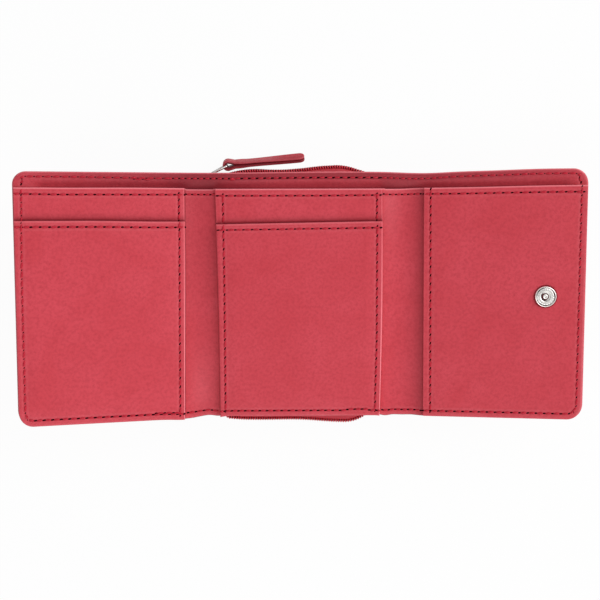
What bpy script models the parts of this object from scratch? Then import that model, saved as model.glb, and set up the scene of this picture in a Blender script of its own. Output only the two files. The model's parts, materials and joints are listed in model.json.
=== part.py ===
"""Trifold mini wallet with a zipped coin pouch on its back, open and lying on the pouch.

Metres, +Z up. Pieces are drawn on an upright wallet whose inner faces look along -Y, in the frame of the
rigid part that carries each one. Those frames hang from each other at the creases, and the last step lays the whole
wallet on its back, so that its inner faces look up and its open edge is at +Y.
"""

import math

import bmesh
import bpy
from mathutils import Vector

MM = 0.001

# Panels, seen from the inside: widths along the wallet and heights up it.
SHELL_HEIGHT = 95.0 * MM
LINER_DROP = 6.4 * MM  # how far the liner's top edge is below the shell's
LEFT_DROP = 0.9 * MM  # how far each flap's lower edge is below the middle's
RIGHT_DROP = 0.6 * MM
MIDDLE_WIDTH = 64.2 * MM
LEFT_WIDTH = 62.8 * MM
RIGHT_WIDTH = 61.4 * MM
CORNER_RADIUS = 5.0 * MM
EDGE_INSET = 0.5 * MM  # inner layers stop this far inside the shell's edge
POCKET_DROP = 13.0 * MM  # front card pocket's top edge below the liner's

# Folds: each is a strip of soft leather between two creases.
LEFT_SPINE = 7.6 * MM
LEFT_MARGIN = 2.35 * MM  # crease to the edge of the card panel
RIGHT_SPINE = 15.3 * MM
RIGHT_MARGIN = 0.2 * MM
CREASE_TRIM = 0.15 * MM
LEFT_REST_ANGLE = math.radians(6.3)  # at each of the two creases
RIGHT_REST_ANGLE = math.radians(4.1)

# Thicknesses, and the gap kept between layers that lie on each other.
LEATHER = 0.8 * MM
SKIN = 0.9 * MM
BOARD = 0.5 * MM
FABRIC = 0.3 * MM
SEAT = 0.3 * MM
HEM_HEIGHT = 1.1 * MM
HEM_WIDTH = 7.0 * MM
CARD_ROOM = 0.6 * MM
SEAM_WIDTH = 3.0 * MM
BOARD_INSET = 0.5 * MM
EDGE_ROUND = 0.25 * MM  # turned and sanded edges of the leather

# Coin pouch on the back.
POUCH_DEPTH = 11.0 * MM  # shell's back face to the cover's front face
POUCH_OVERHANG = 5.8 * MM  # side wall's outer face past the middle panel's left edge
POUCH_COVER = 1.0 * MM
LINING_INSET = 3.6 * MM
COVER_INSET = 0.4 * MM  # cover's edge inside the line of the zip
GUSSET_LENGTH = 18.0 * MM
GUSSET_FOLD = 9.0 * MM

# Zip: a line up over the top, round two corners and back along the bottom.
ZIP_INSET = 1.1 * MM  # from the middle panel's right edge
ZIP_TOP_CORNER = 16.0 * MM
ZIP_BOTTOM_CORNER = 12.5 * MM
ZIP_END_GAP = 0.4 * MM
ZIP_TOP_DIP = 2.4 * MM  # the line starts this far below the shell's upper edge
ZIP_TOP_RISE = math.radians(5.28)
ZIP_BOTTOM_LEFT = -1.6 * MM
ZIP_BOTTOM_FALL = math.radians(1.7)
TAPE = 0.5 * MM
TAPE_FLANGE = 5.0 * MM
TEETH_PITCH = 1.5 * MM
TOOTH_CREST = 0.95 * MM
TOOTH_ROOT = 0.6 * MM
TEETH_SPACING = 1.64 * MM  # between the two rows' centre lines

# Slider, its pull link and the leather tab.
SLIDER_LENGTH = 7.6 * MM
SLIDER_FRONT = 6.4 * MM
SLIDER_REAR = 5.2 * MM
SLIDER_PLATE = 0.45 * MM
SLIDER_NECK = 1.4 * MM
SLIDER_CLEARANCE = 0.25 * MM
BAIL_WIDTH = 1.6 * MM
LINK_WIRE = 0.4 * MM  # radius
LINK_LENGTH = 7.85 * MM
LINK_WIDE = 3.8 * MM  # half width at the tab
LINK_NARROW = 1.7 * MM  # half width at the bail
LINK_ANGLE = math.radians(22.3)
TAB_LENGTH = 30.2 * MM
TAB_THICKNESS = 3.1 * MM
TAB_WIDTH = 6.0 * MM
TAB_LOOP = 2.15 * MM
TAB_EYE = 0.75 * MM
TAB_ANGLE = math.radians(4.8)

# Snap fastener.
SNAP_HEIGHT = 47.2 * MM
SNAP_REACH = 46.1 * MM  # from the right flap's crease
SOCKET_RADIUS = 4.25 * MM
SOCKET_HEIGHT = 2.0 * MM
SOCKET_BORE = 2.2 * MM
STUD_RADIUS = 1.85 * MM
STUD_HEIGHT = 2.05 * MM
STUD_FLANGE = 4.2 * MM
CAP_RADIUS = 5.25 * MM
CAP_HEIGHT = 1.1 * MM
POST_RADIUS = 0.95 * MM
POST_CLEARANCE = 0.35 * MM
EYELET_RADIUS = 3.6 * MM

# Layers of the stack, front to back; the liner's front face is at zero.
LINER_BACK = LEATHER
HEM_FACE = LINER_BACK + SEAT
SKIN_FACE = HEM_FACE + HEM_HEIGHT
SHELL_BACK = SKIN_FACE + SKIN
BASE_BACK = -SEAT
BASE_FRONT = BASE_BACK - LEATHER
POCKET_BACK = BASE_FRONT - SEAT
POCKET_FRONT = POCKET_BACK - CARD_ROOM - LEATHER
COVER_FRONT = SHELL_BACK + POUCH_DEPTH
ZIP_PLANE = SHELL_BACK + POUCH_DEPTH / 2
LINER_HEIGHT = SHELL_HEIGHT - LINER_DROP

# Places along the wallet, from the middle panel's centre.
POUCH_LEFT = -(MIDDLE_WIDTH / 2 + POUCH_OVERHANG)
ZIP_RIGHT = MIDDLE_WIDTH / 2 - ZIP_INSET
ZIP_TOP_LEFT = SHELL_HEIGHT - ZIP_TOP_DIP

LEFT_CREASE = -(MIDDLE_WIDTH / 2 + LEFT_MARGIN)
RIGHT_CREASE = MIDDLE_WIDTH / 2 + RIGHT_MARGIN
LEFT_END = LEFT_MARGIN + LEFT_WIDTH  # from the flap's own crease
RIGHT_END = RIGHT_MARGIN + RIGHT_WIDTH
STUD_REACH = RIGHT_CREASE - LEFT_CREASE - SNAP_REACH  # meets the socket when both flaps are closed

ARC_STEPS = 6
TURN_STEPS = 24


def clear_scene():
    for obj in list(bpy.data.objects):
        bpy.data.objects.remove(obj, do_unlink=True)


def new_collection(name):
    collection = bpy.data.collections.new(name)
    bpy.context.scene.collection.children.link(collection)
    return collection


def new_material(name, colour, roughness, metallic=0.0):
    material = bpy.data.materials.new(name)
    material.use_nodes = True
    shader = material.node_tree.nodes["Principled BSDF"]
    shader.inputs["Base Color"].default_value = (*colour, 1.0)
    shader.inputs["Roughness"].default_value = roughness
    shader.inputs["Metallic"].default_value = metallic
    return material


clear_scene()
wallet_parts = new_collection("mini_wallet")
cutters = new_collection("cutters")
red_leather = new_material("red_leather", (0.58, 0.055, 0.08), 0.5)
red_fabric = new_material("red_fabric", (0.45, 0.03, 0.05), 0.85)
red_teeth = new_material("red_teeth", (0.42, 0.02, 0.045), 0.4)
grey_board = new_material("grey_board", (0.35, 0.33, 0.3), 0.9)
nickel = new_material("nickel", (0.75, 0.74, 0.72), 0.25, 1.0)


# Frames


def new_frame(name, parent, location=(0, 0, 0), turn=0.0, tilt=0.0):
    """An empty; turn is about the wallet's upright axis and tilt about its width."""
    frame = bpy.data.objects.new(name, None)
    wallet_parts.objects.link(frame)
    frame.parent = parent
    frame.location = location
    frame.rotation_euler = (tilt, 0, turn)
    return frame


# Outlines, as lists of (x, z) points


def arc(centre_x, centre_z, radius, start, end, steps=ARC_STEPS):
    angles = [start + (end - start) * i / steps for i in range(steps + 1)]
    return [(centre_x + radius * math.cos(a), centre_z + radius * math.sin(a)) for a in angles]


def circle(centre_x, centre_z, radius, steps=TURN_STEPS):
    return arc(centre_x, centre_z, radius, 0, 2 * math.pi, steps)[:-1]


def rectangle(left, right, low, high):
    return [(left, low), (right, low), (right, high), (left, high)]


def panel(near, far, low, high, low_radius=0.0, high_radius=0.0, near_rise=0.0):
    """A panel from its near side to its far side, with the two far corners rounded."""
    points = [(near, low + near_rise)]
    if low_radius > 0:
        points += arc(far - low_radius, low + low_radius, low_radius, -math.pi / 2, 0)
    else:
        points.append((far, low))
    if high_radius > 0:
        points += arc(far - high_radius, high - high_radius, high_radius, 0, math.pi / 2)
    else:
        points.append((far, high))
    return points + [(near, high)]


def sided(points, side):
    return [(side * x, z) for x, z in points]


# Solids


def mesh_of(source, name, collection):
    """The evaluated curve as a mesh object of its own, with its caps welded."""
    bpy.context.view_layer.update()
    graph = bpy.context.evaluated_depsgraph_get()
    mesh = bpy.data.meshes.new_from_object(source.evaluated_get(graph))
    shape = bmesh.new()
    shape.from_mesh(mesh)
    bmesh.ops.remove_doubles(shape, verts=shape.verts, dist=0.001 * MM)
    bmesh.ops.recalc_face_normals(shape, faces=shape.faces)
    shape.to_mesh(mesh)
    shape.free()
    obj = bpy.data.objects.new(name, mesh)
    collection.objects.link(obj)
    obj.matrix_world = source.matrix_world
    curve = source.data
    bpy.data.objects.remove(source)
    bpy.data.curves.remove(curve)
    return obj


def add_splines(curve, loops, cyclic=True):
    for loop in loops:
        spline = curve.splines.new("POLY")
        spline.points.add(len(loop) - 1)
        for point, (x, y) in zip(spline.points, loop):
            point.co = (x, y, 0, 1)
        spline.use_cyclic_u = cyclic


def flat_curve(name, loops, half_depth):
    curve = bpy.data.curves.new(name, "CURVE")
    curve.dimensions = "2D"
    curve.fill_mode = "BOTH"
    curve.extrude = half_depth
    add_splines(curve, loops)
    obj = bpy.data.objects.new(name, curve)
    cutters.objects.link(obj)
    return obj


def place(obj, frame, location=(0, 0, 0), rotation=(0, 0, 0)):
    obj.parent = frame
    obj.location = location
    obj.rotation_euler = rotation
    return obj


def finish(obj, material):
    """Gives the piece its material, and a leather piece with flat faces its rounded edges."""
    obj.data.materials.clear()
    obj.data.materials.append(material)
    if material == red_leather:
        bevel = obj.modifiers.new("edges", "BEVEL")
        bevel.width = EDGE_ROUND
        bevel.segments = 1
        bevel.limit_method = "ANGLE"
        bevel.angle_limit = math.radians(40.0)
    return obj


def upright_plate(name, frame, loops, front, back, material=None, collection=None):
    """A flat piece: its outline stands in the wallet's plane, and it fills front to back along Y."""
    source = flat_curve(name + "_outline", loops, (back - front) / 2)
    obj = mesh_of(source, name, collection or wallet_parts)
    place(obj, frame, (0, (front + back) / 2, 0), (math.pi / 2, 0, 0))
    return finish(obj, material) if material else obj


def level_plate(name, frame, loops, low, high, collection=None):
    """A flat piece whose outline lies level, filling low to high along Z."""
    source = flat_curve(name + "_outline", loops, (high - low) / 2)
    obj = mesh_of(source, name, collection or wallet_parts)
    return place(obj, frame, (0, 0, (low + high) / 2))


def combine(obj, other, operation):
    """Cuts other from obj, joins it on, or keeps what they share, and applies the result."""
    bpy.context.view_layer.update()
    modifier = obj.modifiers.new(operation.lower(), "BOOLEAN")
    modifier.operation = operation
    modifier.object = other
    graph = bpy.context.evaluated_depsgraph_get()
    mesh = bpy.data.meshes.new_from_object(obj.evaluated_get(graph))
    obj.modifiers.remove(modifier)
    obj.data = mesh
    bpy.data.objects.remove(other)
    return obj


def recessed_plate(name, frame, loops, recess, front, back, depth, material):
    """A plate with a shallow recess in its front face, such as a shell inside its turned hem."""
    obj = upright_plate(name, frame, loops, front, back)
    cutter = upright_plate(
        name + "_recess", frame, [recess], front - depth, front + depth, collection=cutters
    )
    return finish(combine(obj, cutter, "DIFFERENCE"), material)


def turned(name, frame, profile, closed, material, location, rotation):
    """A turned piece. Its profile is (radius, height) points that run down the outer side."""
    mesh = bpy.data.meshes.new(name)
    count = len(profile)
    edges = [(i, i + 1) for i in range(count - 1)]
    if closed:
        edges.append((count - 1, 0))
    mesh.from_pydata([(r, 0, h) for r, h in profile], edges, [])
    obj = bpy.data.objects.new(name, mesh)
    wallet_parts.objects.link(obj)
    screw = obj.modifiers.new("turn", "SCREW")
    screw.steps = TURN_STEPS
    screw.render_steps = TURN_STEPS
    screw.use_merge_vertices = True
    screw.merge_threshold = 0.01 * MM
    screw.use_smooth_shade = True
    place(obj, frame, location, rotation)
    return finish(obj, material)


# The line of the zip, measured along its length from the slider's end


def zip_ends():
    """The two corners as (centre x, centre z, radius): the upper one, then the lower one."""
    left = POUCH_LEFT + LEATHER + ZIP_END_GAP
    upper_x = ZIP_RIGHT - ZIP_TOP_CORNER
    lower_x = ZIP_RIGHT - ZIP_BOTTOM_CORNER
    top_at = ZIP_TOP_LEFT + (upper_x - left) * math.tan(ZIP_TOP_RISE)
    bottom_at = ZIP_BOTTOM_LEFT - (lower_x - left) * math.tan(ZIP_BOTTOM_FALL)
    return (
        (upper_x, top_at - ZIP_TOP_CORNER / math.cos(ZIP_TOP_RISE), ZIP_TOP_CORNER),
        (lower_x, bottom_at + ZIP_BOTTOM_CORNER / math.cos(ZIP_BOTTOM_FALL), ZIP_BOTTOM_CORNER),
    )


def zip_runs():
    """The zip's top, upper corner, side, lower corner and bottom, as (length, point at) pairs."""
    left = POUCH_LEFT + LEATHER + ZIP_END_GAP
    (upper_x, upper_z, upper_radius), (lower_x, lower_z, lower_radius) = zip_ends()
    top_start = Vector((left, ZIP_TOP_LEFT))
    bottom_end = Vector((left, ZIP_BOTTOM_LEFT))
    upper_turn = math.pi / 2 + ZIP_TOP_RISE
    lower_turn = math.pi / 2 + ZIP_BOTTOM_FALL

    def upper(share):
        angle = upper_turn * (1 - share)
        return Vector((upper_x + upper_radius * math.cos(angle), upper_z + upper_radius * math.sin(angle)))

    def lower(share):
        angle = -lower_turn * share
        return Vector((lower_x + lower_radius * math.cos(angle), lower_z + lower_radius * math.sin(angle)))

    return [
        ((upper(0) - top_start).length, lambda share: top_start.lerp(upper(0), share)),
        (upper_radius * upper_turn, upper),
        ((upper(1) - lower(0)).length, lambda share: upper(1).lerp(lower(0), share)),
        (lower_radius * lower_turn, lower),
        ((bottom_end - lower(1)).length, lambda share: lower(1).lerp(bottom_end, share)),
    ]


def zip_length():
    return sum(length for length, _ in zip_runs())


def zip_point(distance):
    runs = zip_runs()
    for length, point_at in runs[:-1]:
        if distance <= length:
            return tuple(point_at(distance / length))
        distance -= length
    length, point_at = runs[-1]
    return tuple(point_at(distance / length))


def zip_outline(inset, left, corner_steps=8):
    """The closed outline inside the zip's line, with its left side upright at left."""
    (upper_x, upper_z, upper_radius), (lower_x, lower_z, lower_radius) = zip_ends()
    upper = arc(upper_x, upper_z, upper_radius - inset, 0, math.pi / 2 + ZIP_TOP_RISE, corner_steps)
    lower = arc(lower_x, lower_z, lower_radius - inset, -math.pi / 2 - ZIP_BOTTOM_FALL, 0, corner_steps)
    top_left = upper[-1][1] - (upper[-1][0] - left) * math.tan(ZIP_TOP_RISE)
    bottom_left = lower[0][1] + (lower[0][0] - left) * math.tan(ZIP_BOTTOM_FALL)
    return [(left, bottom_left), *lower, *upper, (left, top_left)]


# Frames of the wallet's rigid parts

wallet = new_frame("wallet", None)
left_spine = new_frame("left_spine_frame", wallet, (LEFT_CREASE, 0, 0), LEFT_REST_ANGLE)
left_flap = new_frame("left_flap_frame", left_spine, (-LEFT_SPINE, 0, 0), LEFT_REST_ANGLE)
right_spine = new_frame("right_spine_frame", wallet, (RIGHT_CREASE, 0, 0), -RIGHT_REST_ANGLE)
right_flap = new_frame("right_flap_frame", right_spine, (RIGHT_SPINE, 0, 0), -RIGHT_REST_ANGLE)


def build_shells():
    """The outer leather with its turned hem, which leaves the bill compartment open at the top."""
    top = SHELL_HEIGHT
    inner_radius = 1.0 * MM
    spans = (
        ("shell_middle", wallet, 1, LEFT_CREASE + CREASE_TRIM, RIGHT_CREASE - CREASE_TRIM, 0.0),
        ("shell_left_spine", left_spine, -1, CREASE_TRIM, LEFT_SPINE - CREASE_TRIM, LEFT_DROP),
        ("shell_left", left_flap, -1, CREASE_TRIM, LEFT_END, LEFT_DROP),
        ("shell_right_spine", right_spine, 1, CREASE_TRIM, RIGHT_SPINE - CREASE_TRIM, RIGHT_DROP),
        ("shell_right", right_flap, 1, CREASE_TRIM, RIGHT_END, RIGHT_DROP),
    )
    holes = {
        "shell_left": circle(-STUD_REACH, SNAP_HEIGHT, POST_RADIUS + POST_CLEARANCE),
        "shell_right": circle(SNAP_REACH, SNAP_HEIGHT, POST_RADIUS + POST_CLEARANCE),
    }
    for name, frame, side, near, far, drop in spans:
        outer = name in holes
        radius = CORNER_RADIUS if outer else 0.0
        rise = drop if frame in (left_spine, right_spine) else 0.0
        far_recess = far - HEM_WIDTH if outer else far + HEM_WIDTH
        recess_radius = inner_radius if outer else 0.0
        recess = panel(
            near - HEM_WIDTH, far_recess, HEM_WIDTH, top - HEM_WIDTH, recess_radius, recess_radius
        )
        loops = [sided(panel(near, far, -drop, top, radius, radius, rise), side)]
        if name in holes:
            loops.append(holes[name])
        recessed_plate(
            name, frame, loops, sided(recess, side), HEM_FACE, SHELL_BACK, HEM_HEIGHT, red_leather
        )


def build_boards():
    """Stiffening boards that lie in the shell, inside the hem."""
    low = HEM_WIDTH + BOARD_INSET
    high = SHELL_HEIGHT - HEM_WIDTH - BOARD_INSET
    front = SKIN_FACE - SEAT - BOARD
    back = SKIN_FACE - SEAT
    side_inset = HEM_WIDTH + BOARD_INSET
    upright_plate(
        "board_middle",
        wallet,
        [rectangle(-MIDDLE_WIDTH / 2, MIDDLE_WIDTH / 2, low, high)],
        front,
        back,
        grey_board,
    )
    for name, frame, side, near, far, hole in (
        ("board_left", left_flap, -1, LEFT_MARGIN, LEFT_END, (STUD_REACH, EYELET_RADIUS + POST_CLEARANCE)),
        ("board_right", right_flap, 1, LEFT_MARGIN, RIGHT_END, (SNAP_REACH, POST_RADIUS + POST_CLEARANCE)),
    ):
        outline = rectangle(near, far - side_inset, low, high)
        reach, radius = hole
        loops = [sided(outline, side), circle(side * reach, SNAP_HEIGHT, radius)]
        upright_plate(name, frame, loops, front, back, grey_board)


def build_liners():
    """The inner leather in front of the bill compartment, shorter than the shell at the top."""
    high = LINER_HEIGHT
    post = circle(SNAP_REACH, SNAP_HEIGHT, POST_RADIUS + POST_CLEARANCE)
    for name, frame, side, near, far, drop in (
        ("liner_middle", wallet, 1, LEFT_CREASE + CREASE_TRIM, RIGHT_CREASE - CREASE_TRIM, 0.0),
        ("liner_left_spine", left_spine, -1, CREASE_TRIM, LEFT_SPINE - CREASE_TRIM, LEFT_DROP),
        ("liner_left", left_flap, -1, CREASE_TRIM, LEFT_END - EDGE_INSET, LEFT_DROP),
        ("liner_right_spine", right_spine, 1, CREASE_TRIM, RIGHT_SPINE - CREASE_TRIM, RIGHT_DROP),
        ("liner_right", right_flap, 1, CREASE_TRIM, RIGHT_END - EDGE_INSET, RIGHT_DROP),
    ):
        radius = CORNER_RADIUS - EDGE_INSET if frame in (left_flap, right_flap) else 0.0
        rise = drop if frame in (left_spine, right_spine) else 0.0
        loops = [sided(panel(near, far, EDGE_INSET - drop, high, radius, near_rise=rise), side)]
        if name == "liner_right":
            loops.append(post)
        upright_plate(name, frame, loops, 0, LINER_BACK, red_leather)


def card_panel(tag, frame, side, near, far, low, radius):
    """A base layer sewn on the liner, and a pocket in front of it that is open at the top for a card."""
    pocket_top = LINER_HEIGHT - POCKET_DROP
    base = sided(panel(near, far, low, LINER_HEIGHT, radius), side)
    upright_plate("card_base_" + tag, frame, [base], BASE_FRONT, BASE_BACK, red_leather)
    pocket = sided(panel(near, far, low, pocket_top, radius), side)
    slot = rectangle(near + SEAM_WIDTH, far - SEAM_WIDTH, low + SEAM_WIDTH, pocket_top + SEAM_WIDTH)
    name = "card_pocket_" + tag
    obj = upright_plate(name, frame, [pocket], POCKET_FRONT, POCKET_BACK)
    cutter = upright_plate(
        name + "_slot",
        frame,
        [sided(slot, side)],
        POCKET_BACK - CARD_ROOM,
        POCKET_BACK + CARD_ROOM,
        collection=cutters,
    )
    finish(combine(obj, cutter, "DIFFERENCE"), red_leather)


def build_card_panels():
    radius = CORNER_RADIUS - EDGE_INSET
    card_panel("middle", wallet, 1, -MIDDLE_WIDTH / 2, MIDDLE_WIDTH / 2, EDGE_INSET, 0.0)
    card_panel("left", left_flap, -1, LEFT_MARGIN, LEFT_END - EDGE_INSET, EDGE_INSET - LEFT_DROP, radius)
    outline = panel(RIGHT_MARGIN, RIGHT_END - EDGE_INSET, EDGE_INSET - RIGHT_DROP, LINER_HEIGHT, radius)
    post = circle(SNAP_REACH, SNAP_HEIGHT, POST_RADIUS + POST_CLEARANCE)
    upright_plate("snap_panel", right_flap, [outline, post], BASE_FRONT, BASE_BACK, red_leather)


def build_snap():
    """Socket and cap on the right flap; stud and eyelet on the back of the left flap."""
    forward = (math.pi / 2, 0, 0)  # a turned piece's height then runs along -Y
    backward = (-math.pi / 2, 0, 0)
    curl = 0.25 * MM
    floor = 0.2 * MM
    rim = 0.3 * MM
    socket_seat = BASE_FRONT - SEAT
    hole = POST_RADIUS + POST_CLEARANCE
    groove_low = 0.75 * MM
    groove_high = 1.3 * MM
    groove = SOCKET_BORE + 0.4 * MM
    socket = [
        (SOCKET_BORE + rim, SOCKET_HEIGHT - rim),
        (SOCKET_RADIUS - 3 * rim, SOCKET_HEIGHT - rim),
        (SOCKET_RADIUS - 2 * rim, SOCKET_HEIGHT),
        (SOCKET_RADIUS - rim, SOCKET_HEIGHT),
        (SOCKET_RADIUS, SOCKET_HEIGHT - rim),
        (SOCKET_RADIUS, rim),
        (SOCKET_RADIUS - rim, 0),
        (hole, 0),
        (hole, floor),
        (SOCKET_BORE, floor),
        (SOCKET_BORE, groove_low),
        (groove, groove_low),
        (groove, groove_high),
        (SOCKET_BORE, groove_high),
        (SOCKET_BORE, SOCKET_HEIGHT - 2 * rim),
    ]
    place_right = (SNAP_REACH, socket_seat, SNAP_HEIGHT)
    turned("snap_socket", right_flap, socket, True, nickel, place_right, forward)

    spring = bpy.data.curves.new("snap_spring", "CURVE")
    spring.dimensions = "3D"
    spring.bevel_depth = 0.18 * MM
    spring.bevel_resolution = 1
    spring.use_fill_caps = True
    opening = math.radians(20.0)
    add_splines(
        spring,
        [arc(0, 0, SOCKET_BORE + 0.05 * MM, opening, 2 * math.pi - opening, TURN_STEPS)],
        cyclic=False,
    )
    ring = bpy.data.objects.new("snap_spring", spring)
    wallet_parts.objects.link(ring)
    middle = socket_seat - (groove_low + groove_high) / 2
    place(finish(ring, nickel), right_flap, (SNAP_REACH, middle, SNAP_HEIGHT), forward)

    cap_seat = SHELL_BACK + SEAT
    through = cap_seat - socket_seat + floor + curl
    curl_radius = POST_RADIUS + 3 * curl
    cap = [
        (0, CAP_HEIGHT),
        (0.4 * CAP_RADIUS, 0.96 * CAP_HEIGHT),
        (0.75 * CAP_RADIUS, 0.8 * CAP_HEIGHT),
        (0.94 * CAP_RADIUS, 0.5 * CAP_HEIGHT),
        (CAP_RADIUS, 0.15 * CAP_HEIGHT),
        (0.97 * CAP_RADIUS, 0),
        (POST_RADIUS, 0),
        (POST_RADIUS, -through),
        (curl_radius, -through),
        (curl_radius, -through - curl),
        (0, -through - curl),
    ]
    turned("snap_cap", right_flap, cap, False, nickel, (SNAP_REACH, cap_seat, SNAP_HEIGHT), backward)

    bore = POST_RADIUS + POST_CLEARANCE
    bore_depth = STUD_HEIGHT - 0.5 * MM
    neck = STUD_RADIUS - 0.3 * MM
    stud = [
        (0, STUD_HEIGHT),
        (STUD_RADIUS - rim, STUD_HEIGHT),
        (STUD_RADIUS, STUD_HEIGHT - rim),
        (STUD_RADIUS, STUD_HEIGHT - 2 * rim),
        (neck, STUD_HEIGHT - 3.5 * rim),
        (neck, 1.5 * rim),
        (STUD_FLANGE - rim, 1.3 * rim),
        (STUD_FLANGE, 0.6 * rim),
        (STUD_FLANGE - rim, 0),
        (bore, 0),
        (bore, bore_depth),
        (0, bore_depth),
    ]
    stud_seat = SHELL_BACK + SEAT
    turned("snap_stud", left_flap, stud, False, nickel, (-STUD_REACH, stud_seat, SNAP_HEIGHT), backward)

    eyelet_seat = SKIN_FACE - SEAT
    post_top = stud_seat - eyelet_seat + bore_depth - SEAT
    eyelet = [
        (0, post_top),
        (POST_RADIUS, post_top),
        (POST_RADIUS, 0),
        (EYELET_RADIUS, 0),
        (EYELET_RADIUS, -rim),
        (0, -rim),
    ]
    turned("snap_eyelet", left_flap, eyelet, False, nickel, (-STUD_REACH, eyelet_seat, SNAP_HEIGHT), backward)


def build_zip_row(tag, frame, offset, shell_side, phase):
    """One row of teeth and the tape that carries it. The tape bends at its far edge to lie on the leather."""
    middle = ZIP_PLANE + offset
    half_pitch = TEETH_PITCH / 2
    count = int(zip_length() / half_pitch)
    start = SLIDER_NECK + half_pitch
    stop = zip_length() - half_pitch
    distances = [start + half_pitch * i for i in range(count) if start + half_pitch * i < stop]
    teeth = bpy.data.curves.new("zip_teeth_" + tag, "CURVE")
    teeth.dimensions = "3D"
    teeth.fill_mode = "FULL"
    teeth.twist_mode = "Z_UP"
    teeth.bevel_depth = TOOTH_CREST
    teeth.bevel_resolution = 0
    teeth.use_fill_caps = True
    add_splines(teeth, [[zip_point(d) for d in distances]], cyclic=False)
    for i, point in enumerate(teeth.splines[0].points):
        point.radius = 1.0 if (i + phase) % 2 else TOOTH_ROOT / TOOTH_CREST
    row = bpy.data.objects.new("zip_teeth_" + tag, teeth)
    wallet_parts.objects.link(row)
    place(finish(row, red_teeth), frame, (0, middle, 0), (math.pi / 2, 0, 0))

    away = -1 if shell_side else 1
    leather_face = SHELL_BACK + SEAT if shell_side else COVER_FRONT - SEAT
    edge = middle + away * (TOOTH_CREST + SEAT)
    wall = abs(leather_face - edge)
    half = TAPE / 2
    profile = bpy.data.curves.new("tape_profile_" + tag, "CURVE")
    profile.dimensions = "2D"
    profile.fill_mode = "NONE"
    reach = -away * wall
    lip = -away * (wall - TAPE)
    corners = [(half, 0), (-half, 0), (-half, reach), (TAPE_FLANGE, reach), (TAPE_FLANGE, lip), (half, lip)]
    add_splines(profile, [corners])
    profile_object = bpy.data.objects.new("tape_profile_" + tag, profile)
    cutters.objects.link(profile_object)
    tape = bpy.data.curves.new("zip_tape_" + tag, "CURVE")
    tape.dimensions = "3D"
    tape.fill_mode = "FULL"
    tape.twist_mode = "Z_UP"
    tape.bevel_mode = "OBJECT"
    tape.bevel_object = profile_object
    tape.use_fill_caps = True
    runs = zip_runs()
    ends = [sum(length for length, _ in runs[:i]) for i in range(len(runs) + 1)]
    corner_steps = 8
    stops = []
    for i, (length, _) in enumerate(runs):
        steps = corner_steps if i in (1, 3) else 1
        stops += [ends[i] + length * j / steps for j in range(steps)]
    stops.append(ends[-1])
    add_splines(tape, [[zip_point(d) for d in stops]], cyclic=False)
    source = bpy.data.objects.new("zip_tape_" + tag + "_line", tape)
    cutters.objects.link(source)
    obj = mesh_of(source, "zip_tape_" + tag, wallet_parts)
    bpy.data.objects.remove(profile_object)
    bpy.data.curves.remove(profile)
    place(finish(obj, red_fabric), frame, (0, edge, 0), (math.pi / 2, 0, 0))


def build_gusset(name, top):
    """A folded cloth gusset beside the side wall, deeper away from it. It spreads as the pouch opens."""
    start = POUCH_LEFT + LEATHER + SEAT
    front = SHELL_BACK + 2 * SEAT + TAPE + SEAT + FABRIC
    back = COVER_FRONT - 2 * SEAT - TAPE - SEAT - FABRIC
    edge = LINER_HEIGHT - LINING_INSET if top else LINING_INSET
    down = -1 if top else 1
    shape = bmesh.new()
    bmesh.ops.create_grid(shape, x_segments=2, y_segments=2, size=1.0)
    for vert in shape.verts:
        across, along = vert.co.x, (vert.co.y + 1) / 2
        depth = (0.15 + 0.85 * along) * GUSSET_FOLD * (1 - abs(across))
        vert.co = (
            start + along * GUSSET_LENGTH,
            (front + back) / 2 + across * (back - front) / 2,
            edge + down * depth,
        )
    mesh = bpy.data.meshes.new(name)
    shape.to_mesh(mesh)
    shape.free()
    obj = bpy.data.objects.new(name, mesh)
    wallet_parts.objects.link(obj)
    solidify = obj.modifiers.new("cloth", "SOLIDIFY")
    solidify.thickness = FABRIC
    solidify.offset = 0.0
    place(finish(obj, red_fabric), wallet)


def build_pouch():
    """Side wall, linings, gussets and the cover, which swings on the corner of the side wall."""
    hinge_x = POUCH_LEFT + LEATHER
    hinge_y = COVER_FRONT - SEAT / 2
    cover = new_frame("pouch_cover_frame", wallet, (hinge_x, hinge_y, 0))
    in_cover = (-hinge_x, -hinge_y)

    wall_low = LINING_INSET
    wall_high = LINER_HEIGHT
    upright_plate(
        "pouch_side_wall",
        wallet,
        [rectangle(POUCH_LEFT, hinge_x, wall_low, wall_high)],
        SHELL_BACK + SEAT,
        COVER_FRONT - SEAT,
        red_leather,
    )

    def cover_piece(name, inset, left, front, back, material):
        outline = [(x + in_cover[0], z) for x, z in zip_outline(inset, left)]
        return upright_plate(name, cover, [outline], front + in_cover[1], back + in_cover[1], material)

    lining_left = hinge_x + SEAT
    tape_depth = 2 * SEAT + TAPE
    inner_front = SHELL_BACK + tape_depth
    upright_plate(
        "pouch_lining_inner",
        wallet,
        [zip_outline(LINING_INSET, lining_left)],
        inner_front,
        inner_front + FABRIC,
        red_fabric,
    )
    outer_back = COVER_FRONT - tape_depth
    cover_piece("pouch_lining_outer", LINING_INSET, lining_left, outer_back - FABRIC, outer_back, red_fabric)
    cover_piece(
        "pouch_cover", COVER_INSET, hinge_x + SEAT / 2, COVER_FRONT, COVER_FRONT + POUCH_COVER, red_leather
    )
    build_zip_row("inner", wallet, -TEETH_SPACING / 2, True, 0)
    outer = new_frame("zip_outer_frame", cover, (-hinge_x, -hinge_y, 0))
    build_zip_row("outer", outer, TEETH_SPACING / 2, False, 1)
    build_gusset("gusset_top", True)
    build_gusset("gusset_bottom", False)
    return cover


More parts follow.
